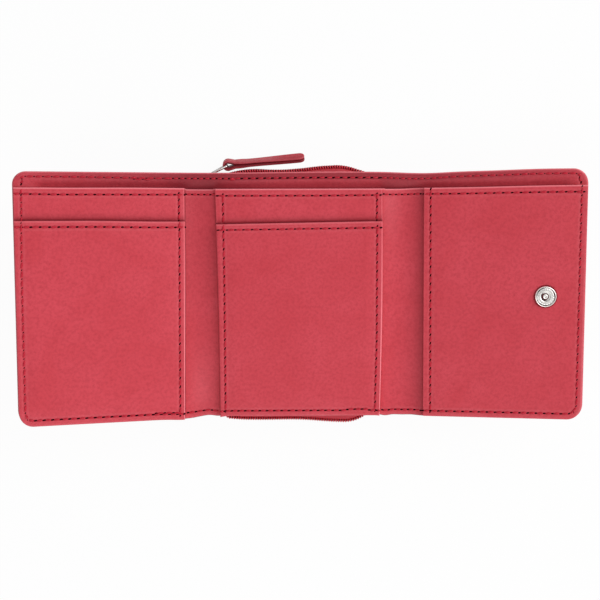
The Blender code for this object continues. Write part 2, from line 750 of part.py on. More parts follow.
def build_slider():
    """Slider with its bail, the wire link on the bail and the leather tab on the link."""
    start = Vector(zip_point(0))
    slider = new_frame("slider_frame", wallet, (start.x + SLIDER_LENGTH / 2, ZIP_PLANE, 0))
    slider.location.z = start.y + SLIDER_LENGTH / 2 * math.tan(ZIP_TOP_RISE)
    slider.rotation_euler = (0, -ZIP_TOP_RISE, 0)
    front, rear = -SLIDER_LENGTH / 2, SLIDER_LENGTH / 2
    channel = TOOTH_CREST + SLIDER_CLEARANCE
    top = channel + SLIDER_PLATE
    shoulder = 1.2 * MM
    half_front, half_rear = SLIDER_FRONT / 2, SLIDER_REAR / 2
    upper = [
        (front, half_front - shoulder),
        (front + shoulder, half_front),
        (front + 2 * shoulder, half_front),
        (rear - shoulder / 2, half_rear),
        (rear, half_rear - shoulder / 2),
    ]
    plan = upper + [(x, -y) for x, y in reversed(upper)]
    body = level_plate("slider_body", slider, [plan], -top, top)

    reach = TEETH_SPACING / 2 + TOOTH_CREST + SLIDER_CLEARANCE
    neck_end = front + SLIDER_NECK
    half_neck = 0.7 * MM
    slot = TAPE / 2 + SLIDER_CLEARANCE
    beyond = SLIDER_LENGTH
    cuts = [
        (rectangle(neck_end, beyond, -reach, reach), channel),
        (rectangle(-beyond, neck_end + SLIDER_CLEARANCE, half_neck, reach), channel),
        (rectangle(-beyond, neck_end + SLIDER_CLEARANCE, -reach, -half_neck), channel),
        (rectangle(-beyond, beyond, reach - SLIDER_CLEARANCE, beyond), slot),
        (rectangle(-beyond, beyond, -beyond, SLIDER_CLEARANCE - reach), slot),
    ]
    for i, (outline, half_height) in enumerate(cuts):
        cutter = level_plate(f"slider_cut_{i}", slider, [outline], -half_height, half_height, cutters)
        body = combine(body, cutter, "DIFFERENCE")

    bail_room = LINK_WIRE + SLIDER_CLEARANCE
    pivot_x = -1.9 * MM
    pivot_z = top + SEAT + LINK_WIRE
    strap = 0.6 * MM
    outer_radius = bail_room + strap
    sunk = 0.2 * MM
    arch = [
        (pivot_x + outer_radius + strap, top - sunk),
        *arc(pivot_x, pivot_z, outer_radius, 0, math.pi),
        (pivot_x - outer_radius - strap, top - sunk),
        (pivot_x - bail_room, top - sunk),
        *arc(pivot_x, pivot_z, bail_room, math.pi, 0),
        (pivot_x + bail_room, top - sunk),
    ]
    bail = upright_plate(
        "slider_bail", slider, [arch], -BAIL_WIDTH / 2, BAIL_WIDTH / 2, collection=cutters
    )
    finish(combine(body, bail, "UNION"), nickel)

    link = new_frame("pull_link_frame", slider, (pivot_x, 0, pivot_z))
    link.rotation_euler = (0, -LINK_ANGLE + ZIP_TOP_RISE, 0)
    corner = 0.5 * MM
    straight = 0.6 * LINK_LENGTH
    taper_end = 0.18 * LINK_LENGTH
    half_loop = [
        (0, LINK_NARROW - corner),
        (corner, LINK_NARROW),
        (taper_end, LINK_NARROW),
        (straight, LINK_WIDE),
        (LINK_LENGTH - corner, LINK_WIDE),
        (LINK_LENGTH, LINK_WIDE - corner),
    ]
    loop = half_loop + [(x, -y) for x, y in reversed(half_loop)]
    wire = bpy.data.curves.new("pull_link", "CURVE")
    wire.dimensions = "3D"
    wire.bevel_depth = LINK_WIRE
    wire.bevel_resolution = 2
    add_splines(wire, [loop])
    ring = bpy.data.objects.new("pull_link", wire)
    wallet_parts.objects.link(ring)
    place(finish(ring, nickel), link)

    tab = new_frame("pull_tab_frame", link, (LINK_LENGTH, 0, 0))
    tab.rotation_euler = (0, LINK_ANGLE - TAB_ANGLE, 0)
    half = TAB_THICKNESS / 2
    lift = 0.2 * MM
    blend_x = 2.2 * TAB_LOOP
    side_view = [
        *arc(0, 0, TAB_LOOP, math.radians(70), math.radians(290), 2 * ARC_STEPS),
        (blend_x, lift - half),
        *arc(TAB_LENGTH - half, lift, half, -math.pi / 2, math.pi / 2),
        (blend_x, lift + half),
    ]
    strap = upright_plate(
        "pull_tab", tab, [side_view, circle(0, 0, TAB_EYE, 12)], -TAB_WIDTH / 2, TAB_WIDTH / 2
    )
    round_end = TAB_WIDTH / 2
    plan = panel(-TAB_LENGTH, TAB_LENGTH, -round_end, round_end, 0.98 * round_end, 0.98 * round_end)
    trim = level_plate("pull_tab_plan", tab, [plan], -2 * TAB_THICKNESS, 2 * TAB_THICKNESS, cutters)
    finish(combine(strap, trim, "INTERSECT"), red_leather)
    return slider


def lay_down():
    """Turns the wallet onto its back, with the pouch cover on the floor and all of it centred over the origin."""
    wallet.rotation_euler = (-math.pi / 2, 0, 0)
    bpy.context.view_layer.update()
    graph = bpy.context.evaluated_depsgraph_get()
    points = []
    for obj in wallet_parts.objects:
        if obj.type != "EMPTY":
            evaluated = obj.evaluated_get(graph)
            points += [obj.matrix_world @ vert.co for vert in evaluated.to_mesh().vertices]
            evaluated.to_mesh_clear()
    low = Vector(map(min, zip(*points)))
    high = Vector(map(max, zip(*points)))
    wallet.location = (-(low.x + high.x) / 2, -(low.y + high.y) / 2, -low.z)
    bpy.context.view_layer.update()


build_shells()
build_boards()
build_liners()
build_card_panels()
build_snap()
pouch_cover = build_pouch()
zip_slider = build_slider()
lay_down()
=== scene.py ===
# Mini wallet, open on its back: leather, thread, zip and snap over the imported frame.
import json
import math
import bmesh
import bpy
import numpy as np
from mathutils import Matrix, Vector


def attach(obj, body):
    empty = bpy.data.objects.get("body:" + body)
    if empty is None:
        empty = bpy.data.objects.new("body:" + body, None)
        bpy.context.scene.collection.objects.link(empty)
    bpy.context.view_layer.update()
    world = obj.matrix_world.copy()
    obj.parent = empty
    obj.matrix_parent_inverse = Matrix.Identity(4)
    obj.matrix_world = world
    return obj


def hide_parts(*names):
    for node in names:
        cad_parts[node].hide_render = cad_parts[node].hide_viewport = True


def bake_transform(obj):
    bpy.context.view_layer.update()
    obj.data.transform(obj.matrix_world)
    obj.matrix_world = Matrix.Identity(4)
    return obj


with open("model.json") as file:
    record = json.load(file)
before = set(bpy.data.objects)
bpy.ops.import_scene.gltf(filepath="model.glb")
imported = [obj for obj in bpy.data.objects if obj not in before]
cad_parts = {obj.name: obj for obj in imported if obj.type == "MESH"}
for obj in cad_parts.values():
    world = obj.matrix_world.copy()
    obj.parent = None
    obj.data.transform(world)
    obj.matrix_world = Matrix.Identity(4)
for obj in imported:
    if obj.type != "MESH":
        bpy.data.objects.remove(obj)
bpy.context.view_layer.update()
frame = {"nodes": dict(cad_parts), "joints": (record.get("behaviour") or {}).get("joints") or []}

joints = {joint["name"]: joint for joint in frame["joints"]}
print("frame loaded:", len(frame["nodes"]), "nodes")

# Lengths are millimetres and are turned into metres as a mesh is made; only the stage is given in metres.
mm = 0.001

# the wallet's wrap: s runs along it from the middle's centre, v up it, w out of the inner face
wrap = {
    "leftCrease": 34.45,      # s of the crease beside the middle, left and right
    "leftSpine": 7.6,
    "leftEnd": 107.2,
    "rightCrease": 32.3,
    "rightSpine": 15.3,
    "rightEnd": 109.2,
    "leftAngle": 6.3,         # degrees at each crease
    "rightAngle": 4.1,
    "creaseSoft": 2.6,        # the leather bends over this far on each side of a crease
    "middleHalf": 32.1,
    "linerTop": 88.6,
    "shellTop": 95.0,
    "leftDrop": 0.9,
    "rightDrop": 0.6,
}
leftHinge = np.array(joints["left_spine_fold"]["pos_m"]) / mm
originX = leftHinge[0] + wrap["leftCrease"]
originY = leftHinge[1]
originZ = leftHinge[2]
leftOuter = wrap["leftCrease"] + wrap["leftSpine"]
rightOuter = wrap["rightCrease"] + wrap["rightSpine"]
# the leather's pieces meet in the middle of each spine
leftSplit = -(wrap["leftCrease"] + wrap["leftSpine"] / 2)
rightSplit = wrap["rightCrease"] + wrap["rightSpine"] / 2


def smoothStep(t):
    t = np.clip(t, 0, 1)
    return t * t * (3 - 2 * t)


def ridges(position, centre, width):
    return np.exp(-(((position - centre) / width) ** 2))


def arch(position, low, high):
    return np.sin(math.pi * np.clip((position - low) / (high - low), 0, 1))


def makeWrapTable():
    # heading(s) = sum over creases of angle * smoothStep((s - crease) / soft); x and z are its integrals
    step = 0.05
    s = np.arange(-120.0, 120.0, step)
    heading = np.zeros_like(s)
    for crease, angle in (
        (wrap["rightCrease"], wrap["rightAngle"]), (rightOuter, wrap["rightAngle"]),
        (-wrap["leftCrease"], wrap["leftAngle"]), (-leftOuter, wrap["leftAngle"]),
    ):
        share = smoothStep((s - crease) / (2 * wrap["creaseSoft"]) + 0.5)
        heading += math.radians(angle) * (share if crease > 0 else share - 1)
    x, z = (np.concatenate([[0], np.cumsum(part[:-1] * step)]) for part in (np.cos(heading), np.sin(heading)))
    return s, heading, x - np.interp(0, s, x), z - np.interp(0, s, z)


tableS, tableHeading, tableX, tableZ = makeWrapTable()


def wrapPoint(s, v, w):
    # point = path(s) + w * normal(s), with v along the wallet's height
    heading = np.interp(s, tableS, tableHeading)
    x = originX + np.interp(s, tableS, tableX) - w * np.sin(heading)
    z = originZ + np.interp(s, tableS, tableZ) + w * np.cos(heading)
    return np.stack(np.broadcast_arrays(x, originY + v, z), axis=-1)


def upHeight(v):
    # -1 at the wallet's lower edge, 1 at its upper one
    return 2 * v / wrap["shellTop"] - 1


# mesh helpers
def meshObject(name, points, faces):
    mesh = bpy.data.meshes.new(name)
    mesh.from_pydata((np.asarray(points).reshape(-1, 3) * mm).tolist(), [], np.asarray(faces).tolist())
    mesh.validate()
    mesh.update()
    piece = bpy.data.objects.new(name, mesh)
    bpy.context.scene.collection.objects.link(piece)
    return piece


def gridFaces(rows, columns, closeRows=False, closeColumns=False, start=0):
    # quads of a rows x columns grid; a closed direction joins its last line to its first
    i = np.arange(rows if closeRows else rows - 1)
    j = np.arange(columns if closeColumns else columns - 1)
    i, j = np.meshgrid(i, j, indexing="ij")
    nextI, nextJ = (i + 1) % rows, (j + 1) % columns
    return start + np.stack(
        [i * columns + j, nextI * columns + j, nextI * columns + nextJ, i * columns + nextJ], axis=-1
    ).reshape(-1, 4)


def cleanMesh(piece, distance=0.002):
    shape = bmesh.new()
    shape.from_mesh(piece.data)
    bmesh.ops.remove_doubles(shape, verts=shape.verts, dist=distance * mm)
    bmesh.ops.dissolve_degenerate(shape, edges=shape.edges, dist=distance * mm * 0.1)
    bmesh.ops.recalc_face_normals(shape, faces=shape.faces)
    shape.to_mesh(piece.data)
    shape.free()
    piece.data.polygons.foreach_set("use_smooth", [True] * len(piece.data.polygons))
    return piece


def spacing(low, high, step, fineLow=True, fineHigh=True):
    # knots of one direction of a sheet: close together at a turned edge and at the seam beside it
    near = [0, 0.03, 0.1, 0.2, 0.34, 0.5, 0.75, 1.1, 1.5, 1.9, 2.2, 2.5, 2.8, 3.1, 3.5, 4.0]
    lowKnots, highKnots = (np.array(near if fine else [0, 0.4, 0.9]) for fine in (fineLow, fineHigh))
    a, b = low + lowKnots[-1], high - highKnots[-1]
    count = max(2, int(round((b - a) / step)))
    return np.concatenate([low + lowKnots[:-1], np.linspace(a, b, count + 1), (high - highKnots[:-1])[::-1]])


def fit(piece, nodes, body=None):
    # the piece rides on its body and stands for these solids
    if body:
        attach(piece, body)
    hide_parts(*nodes)


# materials
def connect(tree, node, inputs):
    # an input takes a number, a colour or another node's output
    for key, value in inputs.items():
        if isinstance(value, bpy.types.NodeSocket):
            tree.links.new(value, node.inputs[key])
        else:
            node.inputs[key].default_value = value
    return node


def addNode(tree, kind, inputs=None):
    return connect(tree, tree.nodes.new("ShaderNode" + kind), inputs or {})


def newMaterial(name, colour, roughness, metallic=0.0):
    material = bpy.data.materials.new(name)
    material.use_nodes = True
    tree = material.node_tree
    shader = tree.nodes["Principled BSDF"]
    connect(tree, shader, {"Base Color": (*colour, 1.0), "Roughness": roughness, "Metallic": metallic})
    return material, tree, shader


def objectPlace(tree, scale=(1, 1, 1)):
    place = addNode(tree, "TexCoord").outputs["Object"]
    return addNode(tree, "Mapping", {"Vector": place, "Scale": scale}).outputs["Vector"]


def noiseNode(tree, place, scale, detail=3.0, rough=0.55, distortion=0.0):
    settings = {"Scale": scale, "Detail": detail, "Roughness": rough, "Distortion": distortion}
    return addNode(tree, "TexNoise", {"Vector": place, **settings}).outputs["Fac"]


def cellNode(tree, place, scale, feature):
    cells = addNode(tree, "TexVoronoi", {"Vector": place, "Scale": scale})
    cells.feature = feature
    return cells.outputs["Distance"]


def maths(tree, operation, *values):
    node = tree.nodes.new("ShaderNodeMath")
    node.operation = operation
    return connect(tree, node, dict(enumerate(values))).outputs[0]


def remap(tree, value, low, high, outLow=0.0, outHigh=1.0):
    return addNode(tree, "MapRange", dict(enumerate((value, low, high, outLow, outHigh)))).outputs[0]


def mixColour(tree, share, first, second):
    first, second = (
        part if isinstance(part, bpy.types.NodeSocket) else (*part, 1.0) for part in (first, second)
    )
    node = tree.nodes.new("ShaderNodeMix")
    node.data_type = "RGBA"
    return connect(tree, node, {0: share, 6: first, 7: second}).outputs[2]


def bumpChain(tree, shader, layers):
    # each layer is (height output, distance in mm, strength); later layers ride on earlier ones
    below = {}
    for height, distance, strength in layers:
        settings = {"Height": height, "Distance": distance * mm, "Strength": strength}
        below = {"Normal": addNode(tree, "Bump", {**settings, **below}).outputs["Normal"]}
    connect(tree, shader, below)


def readAttribute(tree, name):
    node = tree.nodes.new("ShaderNodeAttribute")
    node.attribute_name = name
    return node.outputs["Fac"]


# edge is the colour of the painted highlight and deep the colour of the painted shade; the rest is the
# leather's own tone
leatherLook = {
    "colour": (0.605, 0.048, 0.069),
    "dark": (0.453, 0.026, 0.043),
    "bright": (0.662, 0.064, 0.091),
    "edge": (0.93, 0.25, 0.29),
    "deep": (0.14, 0.001, 0.008),
    "specular": 0.31,
    "roughness": (0.40, 0.56),
    "grainScale": 2100.0,
}


def makeLeather(look):
    material, tree, shader = newMaterial("redLeather", look["colour"], 0.48)
    place = objectPlace(tree)
    patches = noiseNode(tree, place, 55.0, 4.0, 0.6, 0.6)      # worn, waxy patches 10-20 mm across
    fine = noiseNode(tree, place, 900.0, 3.0, 0.6)
    wrinkles = noiseNode(tree, place, 320.0, 5.0, 0.62, 1.2)
    grain = cellNode(tree, place, look["grainScale"], "DISTANCE_TO_EDGE")
    pores = cellNode(tree, place, look["grainScale"] * 0.55, "F1")
    body = mixColour(tree, remap(tree, patches, 0.34, 0.72), look["colour"], look["bright"])
    body = mixColour(tree, remap(tree, fine, 0.3, 0.75, -0.2, 0.6), body, look["dark"])
    # painted highlight: edges, both sides of the rows and spots on the spines are mixed towards the pale edge
    # colour
    body = mixColour(tree, readAttribute(tree, "turned"), body, look["edge"])
    # painted shade in grooves, creases, openings and beside raised edges is mixed towards the deep colour
    body = mixColour(tree, remap(tree, readAttribute(tree, "seam"), 0.0, 1.0, 0.0, 0.85), body, look["deep"])
    roughness = remap(tree, patches, 0.3, 0.75, look["roughness"][1], look["roughness"][0])
    connect(tree, shader, {
        "Base Color": body, "Roughness": roughness, "Specular IOR Level": look["specular"],
    })
    bumpChain(tree, shader, [
        (wrinkles, 0.22, 0.35), (remap(tree, pores, 0.0, 0.5), 0.05, 0.35),
        (remap(tree, grain, 0.0, 0.35), 0.035, 0.5),
    ])
    return material


# a noise of this scale, detail and roughness runs over its span from the first colour to the second
plainLooks = {
    "redThread": {
        "rough": 0.5, "specular": 0.2, "noise": (2600.0, 2.0, 0.5), "span": (0.35, 0.7), "bump": (0.08, 0.6),
        "first": (0.45, 0.010, 0.028), "second": (0.60, 0.026, 0.052),
    },
    # near-black patches at the needle holes: painted shade that stands for the holes' depth
    "paintedHoleShade": {
        "rough": 0.9, "specular": 0.0, "noise": (3000.0, 2.0, 0.5), "span": (0.0, 1.0), "bump": None,
        "first": (0.005, 0.0004, 0.0008), "second": (0.03, 0.002, 0.004),
    },
    # the coil's deep colour is its painted shade, read from the attribute of that name
    "coilNylon": {
        "rough": 0.34, "specular": 0.5, "noise": (500.0, 3.0, 0.5), "span": (0.3, 0.75), "bump": (0.02, 0.2),
        "first": (0.58, 0.012, 0.032), "second": (0.76, 0.034, 0.065), "deep": (0.12, 0.001, 0.005),
    },
    "greyBoard": {
        "rough": 0.9, "specular": 0.5, "noise": (600.0, 5.0, 0.7), "span": (0.0, 1.0), "bump": (0.05, 0.3),
        "first": (0.26, 0.24, 0.22), "second": (0.42, 0.40, 0.36),
    },
}


def makePlain(name):
    look = plainLooks[name]
    material, tree, shader = newMaterial(name, look["first"], look["rough"])
    cloudy = noiseNode(tree, objectPlace(tree), *look["noise"])
    body = mixColour(tree, remap(tree, cloudy, *look["span"]), look["first"], look["second"])
    if "deep" in look:
        # painted shade, read from the piece's deep attribute
        body = mixColour(tree, readAttribute(tree, "deep"), body, look["deep"])
    connect(tree, shader, {"Base Color": body, "Specular IOR Level": look["specular"]})
    if look["bump"]:
        bumpChain(tree, shader, [(cloudy, *look["bump"])])
    return material


def makeNickel():
    material, tree, shader = newMaterial("nickelPlate", (0.84, 0.82, 0.79), 0.2, 1.0)
    polish = noiseNode(tree, objectPlace(tree), 700.0, 4.0, 0.6)
    marks = noiseNode(tree, objectPlace(tree, (1.0, 9.0, 1.0)), 500.0, 3.0, 0.6)
    plate = mixColour(tree, remap(tree, polish, 0.3, 0.8, 0.0, 0.5), (0.88, 0.86, 0.83), (0.72, 0.70, 0.67))
    # painted shade and painted dark reflections, from the piece's attribute
    plate = mixColour(tree, readAttribute(tree, "paintedShadeAndReflection"), plate, (0.10, 0.075, 0.075))
    connect(tree, shader, {"Base Color": plate, "Roughness": remap(tree, polish, 0.3, 0.75, 0.16, 0.34)})
    bumpChain(tree, shader, [(marks, 0.01, 0.15)])
    return material


def makeCloth(name, colour, dark, threads):
    # over-and-under weave: the product of two sine waves along the piece's surface directions (uv in metres)
    material, tree, shader = newMaterial(name, colour, 0.82)
    parts = addNode(tree, "SeparateXYZ", {0: addNode(tree, "TexCoord").outputs["UV"]}).outputs
    waves = [maths(tree, "SINE", maths(tree, "MULTIPLY", parts[i], threads * math.pi)) for i in (0, 1)]
    height = remap(tree, maths(tree, "MULTIPLY", *waves), -1.0, 1.0)
    fuzz = noiseNode(tree, objectPlace(tree), 1500.0, 3.0, 0.6)
    body = mixColour(tree, height, dark, colour)
    body = mixColour(tree, remap(tree, fuzz, 0.3, 0.75, 0.0, 0.4), body, dark)
    connect(tree, shader, {"Base Color": body, "Sheen Weight": 0.05})
    bumpChain(tree, shader, [(height, 0.12, 0.7), (fuzz, 0.06, 0.3)])
    return material


redLeather = makeLeather(leatherLook)
redThread, paintedHoleShade, coilNylon, greyBoard = (makePlain(name) for name in plainLooks)
nickelPlate = makeNickel()
tapeCloth = makeCloth("tapeCloth", (0.62, 0.030, 0.055), (0.40, 0.010, 0.022), 1900.0)
liningCloth = makeCloth("liningCloth", (0.36, 0.022, 0.038), (0.24, 0.012, 0.022), 1500.0)
print("materials made")


# solid sheets
def paint(piece, *materials):
    piece.data.materials.clear()
    for material in materials:
        piece.data.materials.append(material)
    return piece


def pointAttribute(piece, name, values):
    layer = piece.data.attributes.new(name, "FLOAT", "POINT")
    layer.data.foreach_set("value", np.ascontiguousarray(values, dtype=np.float32).ravel())


def solidSheet(name, front, back, attributes=None, uv=None, sharpAngle=50.0):
    # two grids of one size closed by a wall along their shared border; an attribute is its values on each
    rows, columns = front.shape[:2]
    count = rows * columns
    index = np.arange(count).reshape(rows, columns)
    border = np.concatenate([index[:-1, 0], index[-1, :-1], index[:0:-1, -1], index[0, :0:-1]])
    following = np.roll(border, -1)
    walls = np.stack([border + count, following + count, following, border], axis=-1)
    faces = np.concatenate([gridFaces(rows, columns), gridFaces(rows, columns, start=count)[:, ::-1], walls])
    piece = meshObject(name, np.concatenate([front.reshape(-1, 3), back.reshape(-1, 3)]), faces)
    for label, values in (attributes or {}).items():
        both = np.concatenate([np.broadcast_to(part, (rows, columns)).ravel() for part in values])
        pointAttribute(piece, label, both)
    if uv is not None:
        flat = [np.broadcast_to(part, (rows, columns)).ravel() for part in uv]
        place = np.tile(np.stack(flat, axis=-1), (2, 1)) * mm
        loops = np.empty(len(piece.data.loops), dtype=np.int32)
        piece.data.loops.foreach_get("vertex_index", loops)
        piece.data.uv_layers.new(name="place").data.foreach_set("uv", place[loops].astype(np.float32).ravel())
    cleanMesh(piece)
    piece.data.set_sharp_from_angle(angle=math.radians(sharpAngle))
    return piece


# leather sheets, laid out along the wrap
def rowLine(place, along):
    # a row lies at one number, or runs through the listed (along, across) places
    return np.interp(along, *place) if isinstance(place, tuple) else np.full_like(along, place)


def alongRows(s, v, rows, profile):
    # the greatest profile(distance from a row), faded out past the rows' ends
    most = np.zeros(np.broadcast(s, v).shape)
    for direction, place, low, high in rows:
        across, along = (v, s) if direction == "level" else (s, v)
        inside = smoothStep((along - low) / 0.8 + 0.5) * smoothStep((high - along) / 0.8 + 0.5)
        most = np.maximum(most, profile(np.abs(across - rowLine(place, along))) * inside)
    return most


def rowGroove(s, v, rows):
    # dips along the stitch rows
    return 0.9 * alongRows(s, v, rows, lambda d: ridges(d, 0.0, 0.6))


def rowPaintedHighlight(s, v, rows):
    # painted highlight in a narrow band on both sides of a row
    return alongRows(s, v, rows, lambda d: ridges(d, 0.85, 0.3))


def waviness(s, v, seed):
    # slow unevenness of soft leather: a few sine waves of unlike lengths
    return (
        np.sin(s / 9.3 + seed) * np.cos(v / 13.1 + 1.7 * seed)
        + 0.6 * np.sin(s / 23.0 - v / 17.0 + 2.3 * seed)
        + 0.4 * np.cos(v / 5.7 + s / 31.0 + seed)
    ) / 2.0


def lowerEdge(s):
    # how far the lower edge hangs below the middle's: each flap's drop, easing to nothing across its spine,
    # with a soft sag at each crease
    left = wrap["leftDrop"] * smoothStep((-s - wrap["leftCrease"] + 0.5) / (wrap["leftSpine"] + 1.5))
    right = wrap["rightDrop"] * smoothStep((s - wrap["rightCrease"] + 0.5) / (wrap["rightSpine"] + 1.5))
    sags = ((0.4, -46.0, 5.0), (0.5, -32.0, 2.4), (0.6, 33.5, 2.2), (-0.3, 43.8, 3.0))
    return left + right + sum(deep * ridges(s, centre, width) for deep, centre, width in sags)


def upperDip(s):
    # the outer leather's upper edge sinks towards the left and at the wide spine, and rises on the right flap
    return 0.33 * smoothStep((10 - s) / 40) + 0.67 * ridges(s, 48.0, 12.5) - 0.6 * smoothStep((s - 66) / 30)


def linerDip(s):
    # the inner leather's upper edge sags at both spines and rises towards the right end
    leftSag = 0.35 * smoothStep((-32.0 - s) / 1.5) * smoothStep((s + 44.4) / 1.5)
    rightSag = 0.3 * smoothStep((s - 32.0) / 1.5) * smoothStep((47.0 - s) / 10.0)
    middle = 0.2 * smoothStep((32.6 - np.abs(s)) / 0.5)
    return leftSag + middle + rightSag - 0.15 * ridges(s, -62.0, 18.0) - 0.65 * smoothStep((s - 50.0) / 56.0)


def squareness(s, v):
    # the two ends are not quite square: the left one leans out downwards, the right one upwards
    left = (0.2 * (1 - v / wrap["shellTop"]) - 0.05) * smoothStep((-s - 50) / 50)
    right = 0.16 * (v - 40) / 50 * smoothStep((s - 50) / 50)
    return right - left


sheetDefaults = {
    "turnedLow": False, "turnedHigh": False, "corners": (), "cornerRadius": 6.4, "round": 0.45,
    "puff": 0.1, "wave": 0.05, "seed": 0.0, "rows": [], "seamDepth": 0.13,
    "step": 0.8, "knotsS": [], "knotsV": [],
    # shade gives a sheet's painted shade, pale its painted highlight spots, glow its painted highlight's
    # (strength, width) along each side
    "lean": None, "tilt": None, "dip": linerDip, "dipFrom": (77.0, 9.0), "shade": None, "pale": None,
    "glow": {"top": (0.80, 0.34), "low": (0.12, 0.6), "left": (0.08, 0.4), "right": (0.95, 0.42)},
}


def edgeDistance(s, v, sheet):
    # least distance from a turned side; a side that runs on into the next piece counts for nothing
    d = np.minimum(v - sheet["v0"], sheet["v1"] - v)
    if sheet["turnedLow"]:
        d = np.minimum(d, s - sheet["s0"])
    if sheet["turnedHigh"]:
        d = np.minimum(d, sheet["s1"] - s)
    return d


def sheetSurface(s, v, sheet):
    # w = middle + half the thickness * quarter circle of the edge distance, and puff + waves - seams in front
    front, back = sheet["front"](s, v), sheet["back"](s, v)
    d = edgeDistance(s, v, sheet)
    rim = np.sqrt(1 - (1 - np.clip(d / sheet["round"], 0, 1)) ** 2)
    inner = smoothStep((d - 0.3) / 1.2)
    relief = sheet["puff"] * smoothStep((d - 2.9) / 4.0) + sheet["wave"] * waviness(s, v, sheet["seed"])
    relief = (relief - sheet["seamDepth"] * rowGroove(s, v, sheet["rows"])) * inner
    middle, half = (front + back) / 2, (front - back) / 2
    return middle + half * rim + relief, middle - half * rim, d


def sheetPoint(s, v, w, sheet):
    # sheet coordinates to millimetres: corners, leans, sagging edges and tilted mouth first, then the wrap
    for corner in sheet["corners"]:
        s, v = roundOne(s, v, sheet, corner)
    if sheet["lean"]:
        s = s + sheet["lean"](s, v)
    s = s + squareness(s, v)
    drop = lowerEdge(s) * np.clip(1 - (v - 0.5) / 12.0, 0, 1)
    dip = sheet["dip"](s) * smoothStep((v - sheet["dipFrom"][0]) / sheet["dipFrom"][1])
    if sheet["tilt"]:
        dip = dip + sheet["tilt"](s) * smoothStep((v - 69.0) / 6.0) * (1 - smoothStep((v - 77.5) / 8.0))
    return wrapPoint(s, v - drop - dip, w)


def roundOne(s, v, sheet, corner):
    # one square corner zone is pulled onto a quarter disc: q -> q * max(q) / |q|
    radius = sheet["cornerRadius"] - 0.8 * ("upper" in corner) - 0.6 * ("left" in corner)
    sSign = 1 if "right" in corner else -1
    vSign = 1 if "upper" in corner else -1
    sEdge = sheet["s1"] if sSign > 0 else sheet["s0"]
    vEdge = sheet["v1"] if vSign > 0 else sheet["v0"]
    qs, qv = radius - sSign * (sEdge - s), radius - vSign * (vEdge - v)
    inside = (qs > 0) & (qv > 0)
    pull = np.maximum(qs, qv) / np.maximum(np.hypot(qs, qv), 1e-9)
    s = np.where(inside, sEdge - sSign * (radius - qs * pull), s)
    v = np.where(inside, vEdge - vSign * (radius - qv * pull), v)
    return s, v


def level(value):
    return lambda s, v: value


def makeSheet(**settings):
    return {**sheetDefaults, **settings}


def paintedEdgeHighlight(s, v, sheet):
    # painted highlight in a narrow band along the turned edges and beside the rows: (strength, width) by
    # side; on those that look right it grows downwards
    glow = 0.10 * rowPaintedHighlight(s, v, sheet["rows"])
    sides = {"top": sheet["v1"] - v, "low": v - sheet["v0"]}
    if sheet["turnedLow"]:
        sides["left"] = s - sheet["s0"]
    if sheet["turnedHigh"]:
        sides["right"] = sheet["s1"] - s
    for side, distance in sides.items():
        strength, width = sheet["glow"][side]
        if side == "right":
            strength = strength * (1 - 0.8 * smoothStep((v - 15) / 75))
        glow = np.maximum(glow, strength * np.clip((width + 0.3 - distance) / 0.3, 0, 1))
    return glow


def leatherSheet(name, sheet):
    sKnots = spacing(sheet["s0"], sheet["s1"], sheet["step"], sheet["turnedLow"], sheet["turnedHigh"])
    extra = [knot for knot in sheet["knotsS"] if sheet["s0"] < knot < sheet["s1"]]
    sKnots = np.unique(np.concatenate([sKnots, extra]))
    vKnots = np.unique(np.concatenate([spacing(sheet["v0"], sheet["v1"], sheet["step"]), sheet["knotsV"]]))
    s, v = np.meshgrid(sKnots, vKnots, indexing="ij")
    front, back, d = sheetSurface(s, v, sheet)
    turned = paintedEdgeHighlight(s, v, sheet)
    if sheet["pale"]:
        turned = np.maximum(turned, sheet["pale"](s, v))
    # painted shade in the rows' grooves, and the sheet's own painted shade where that is darker
    seam = 0.12 * rowGroove(s, v, sheet["rows"])
    if sheet["shade"]:
        seam = np.maximum(seam, sheet["shade"](s, v))
    points = (sheetPoint(s, v, w, sheet) for w in (front, back))
    piece = solidSheet(name, *points, {"turned": (turned, turned), "seam": (seam, 0.0)})
    return paint(piece, redLeather)


# the four stretches of leather, each across one crease
stretches = {
    label: {"s": (low, high), "bodies": bodies, "crease": crease}
    for label, low, high, bodies, crease in (
        ("Left", -wrap["leftEnd"], leftSplit, ("left_flap", "left_spine"), -leftOuter),
        ("LeftMiddle", leftSplit, 0.0, ("left_spine", "middle"), -wrap["leftCrease"]),
        ("RightMiddle", 0.0, rightSplit, ("middle", "right_spine"), wrap["rightCrease"]),
        ("Right", rightSplit, wrap["rightEnd"], ("right_spine", "right_flap"), rightOuter),
    )
}


def bendOver(piece, stretch):
    middle = wrap["shellTop"] / 2
    ends = [wrapPoint(stretch["crease"] + side * wrap["creaseSoft"], middle, 0.0) * mm for side in (-1, 1)]
    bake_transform(piece)


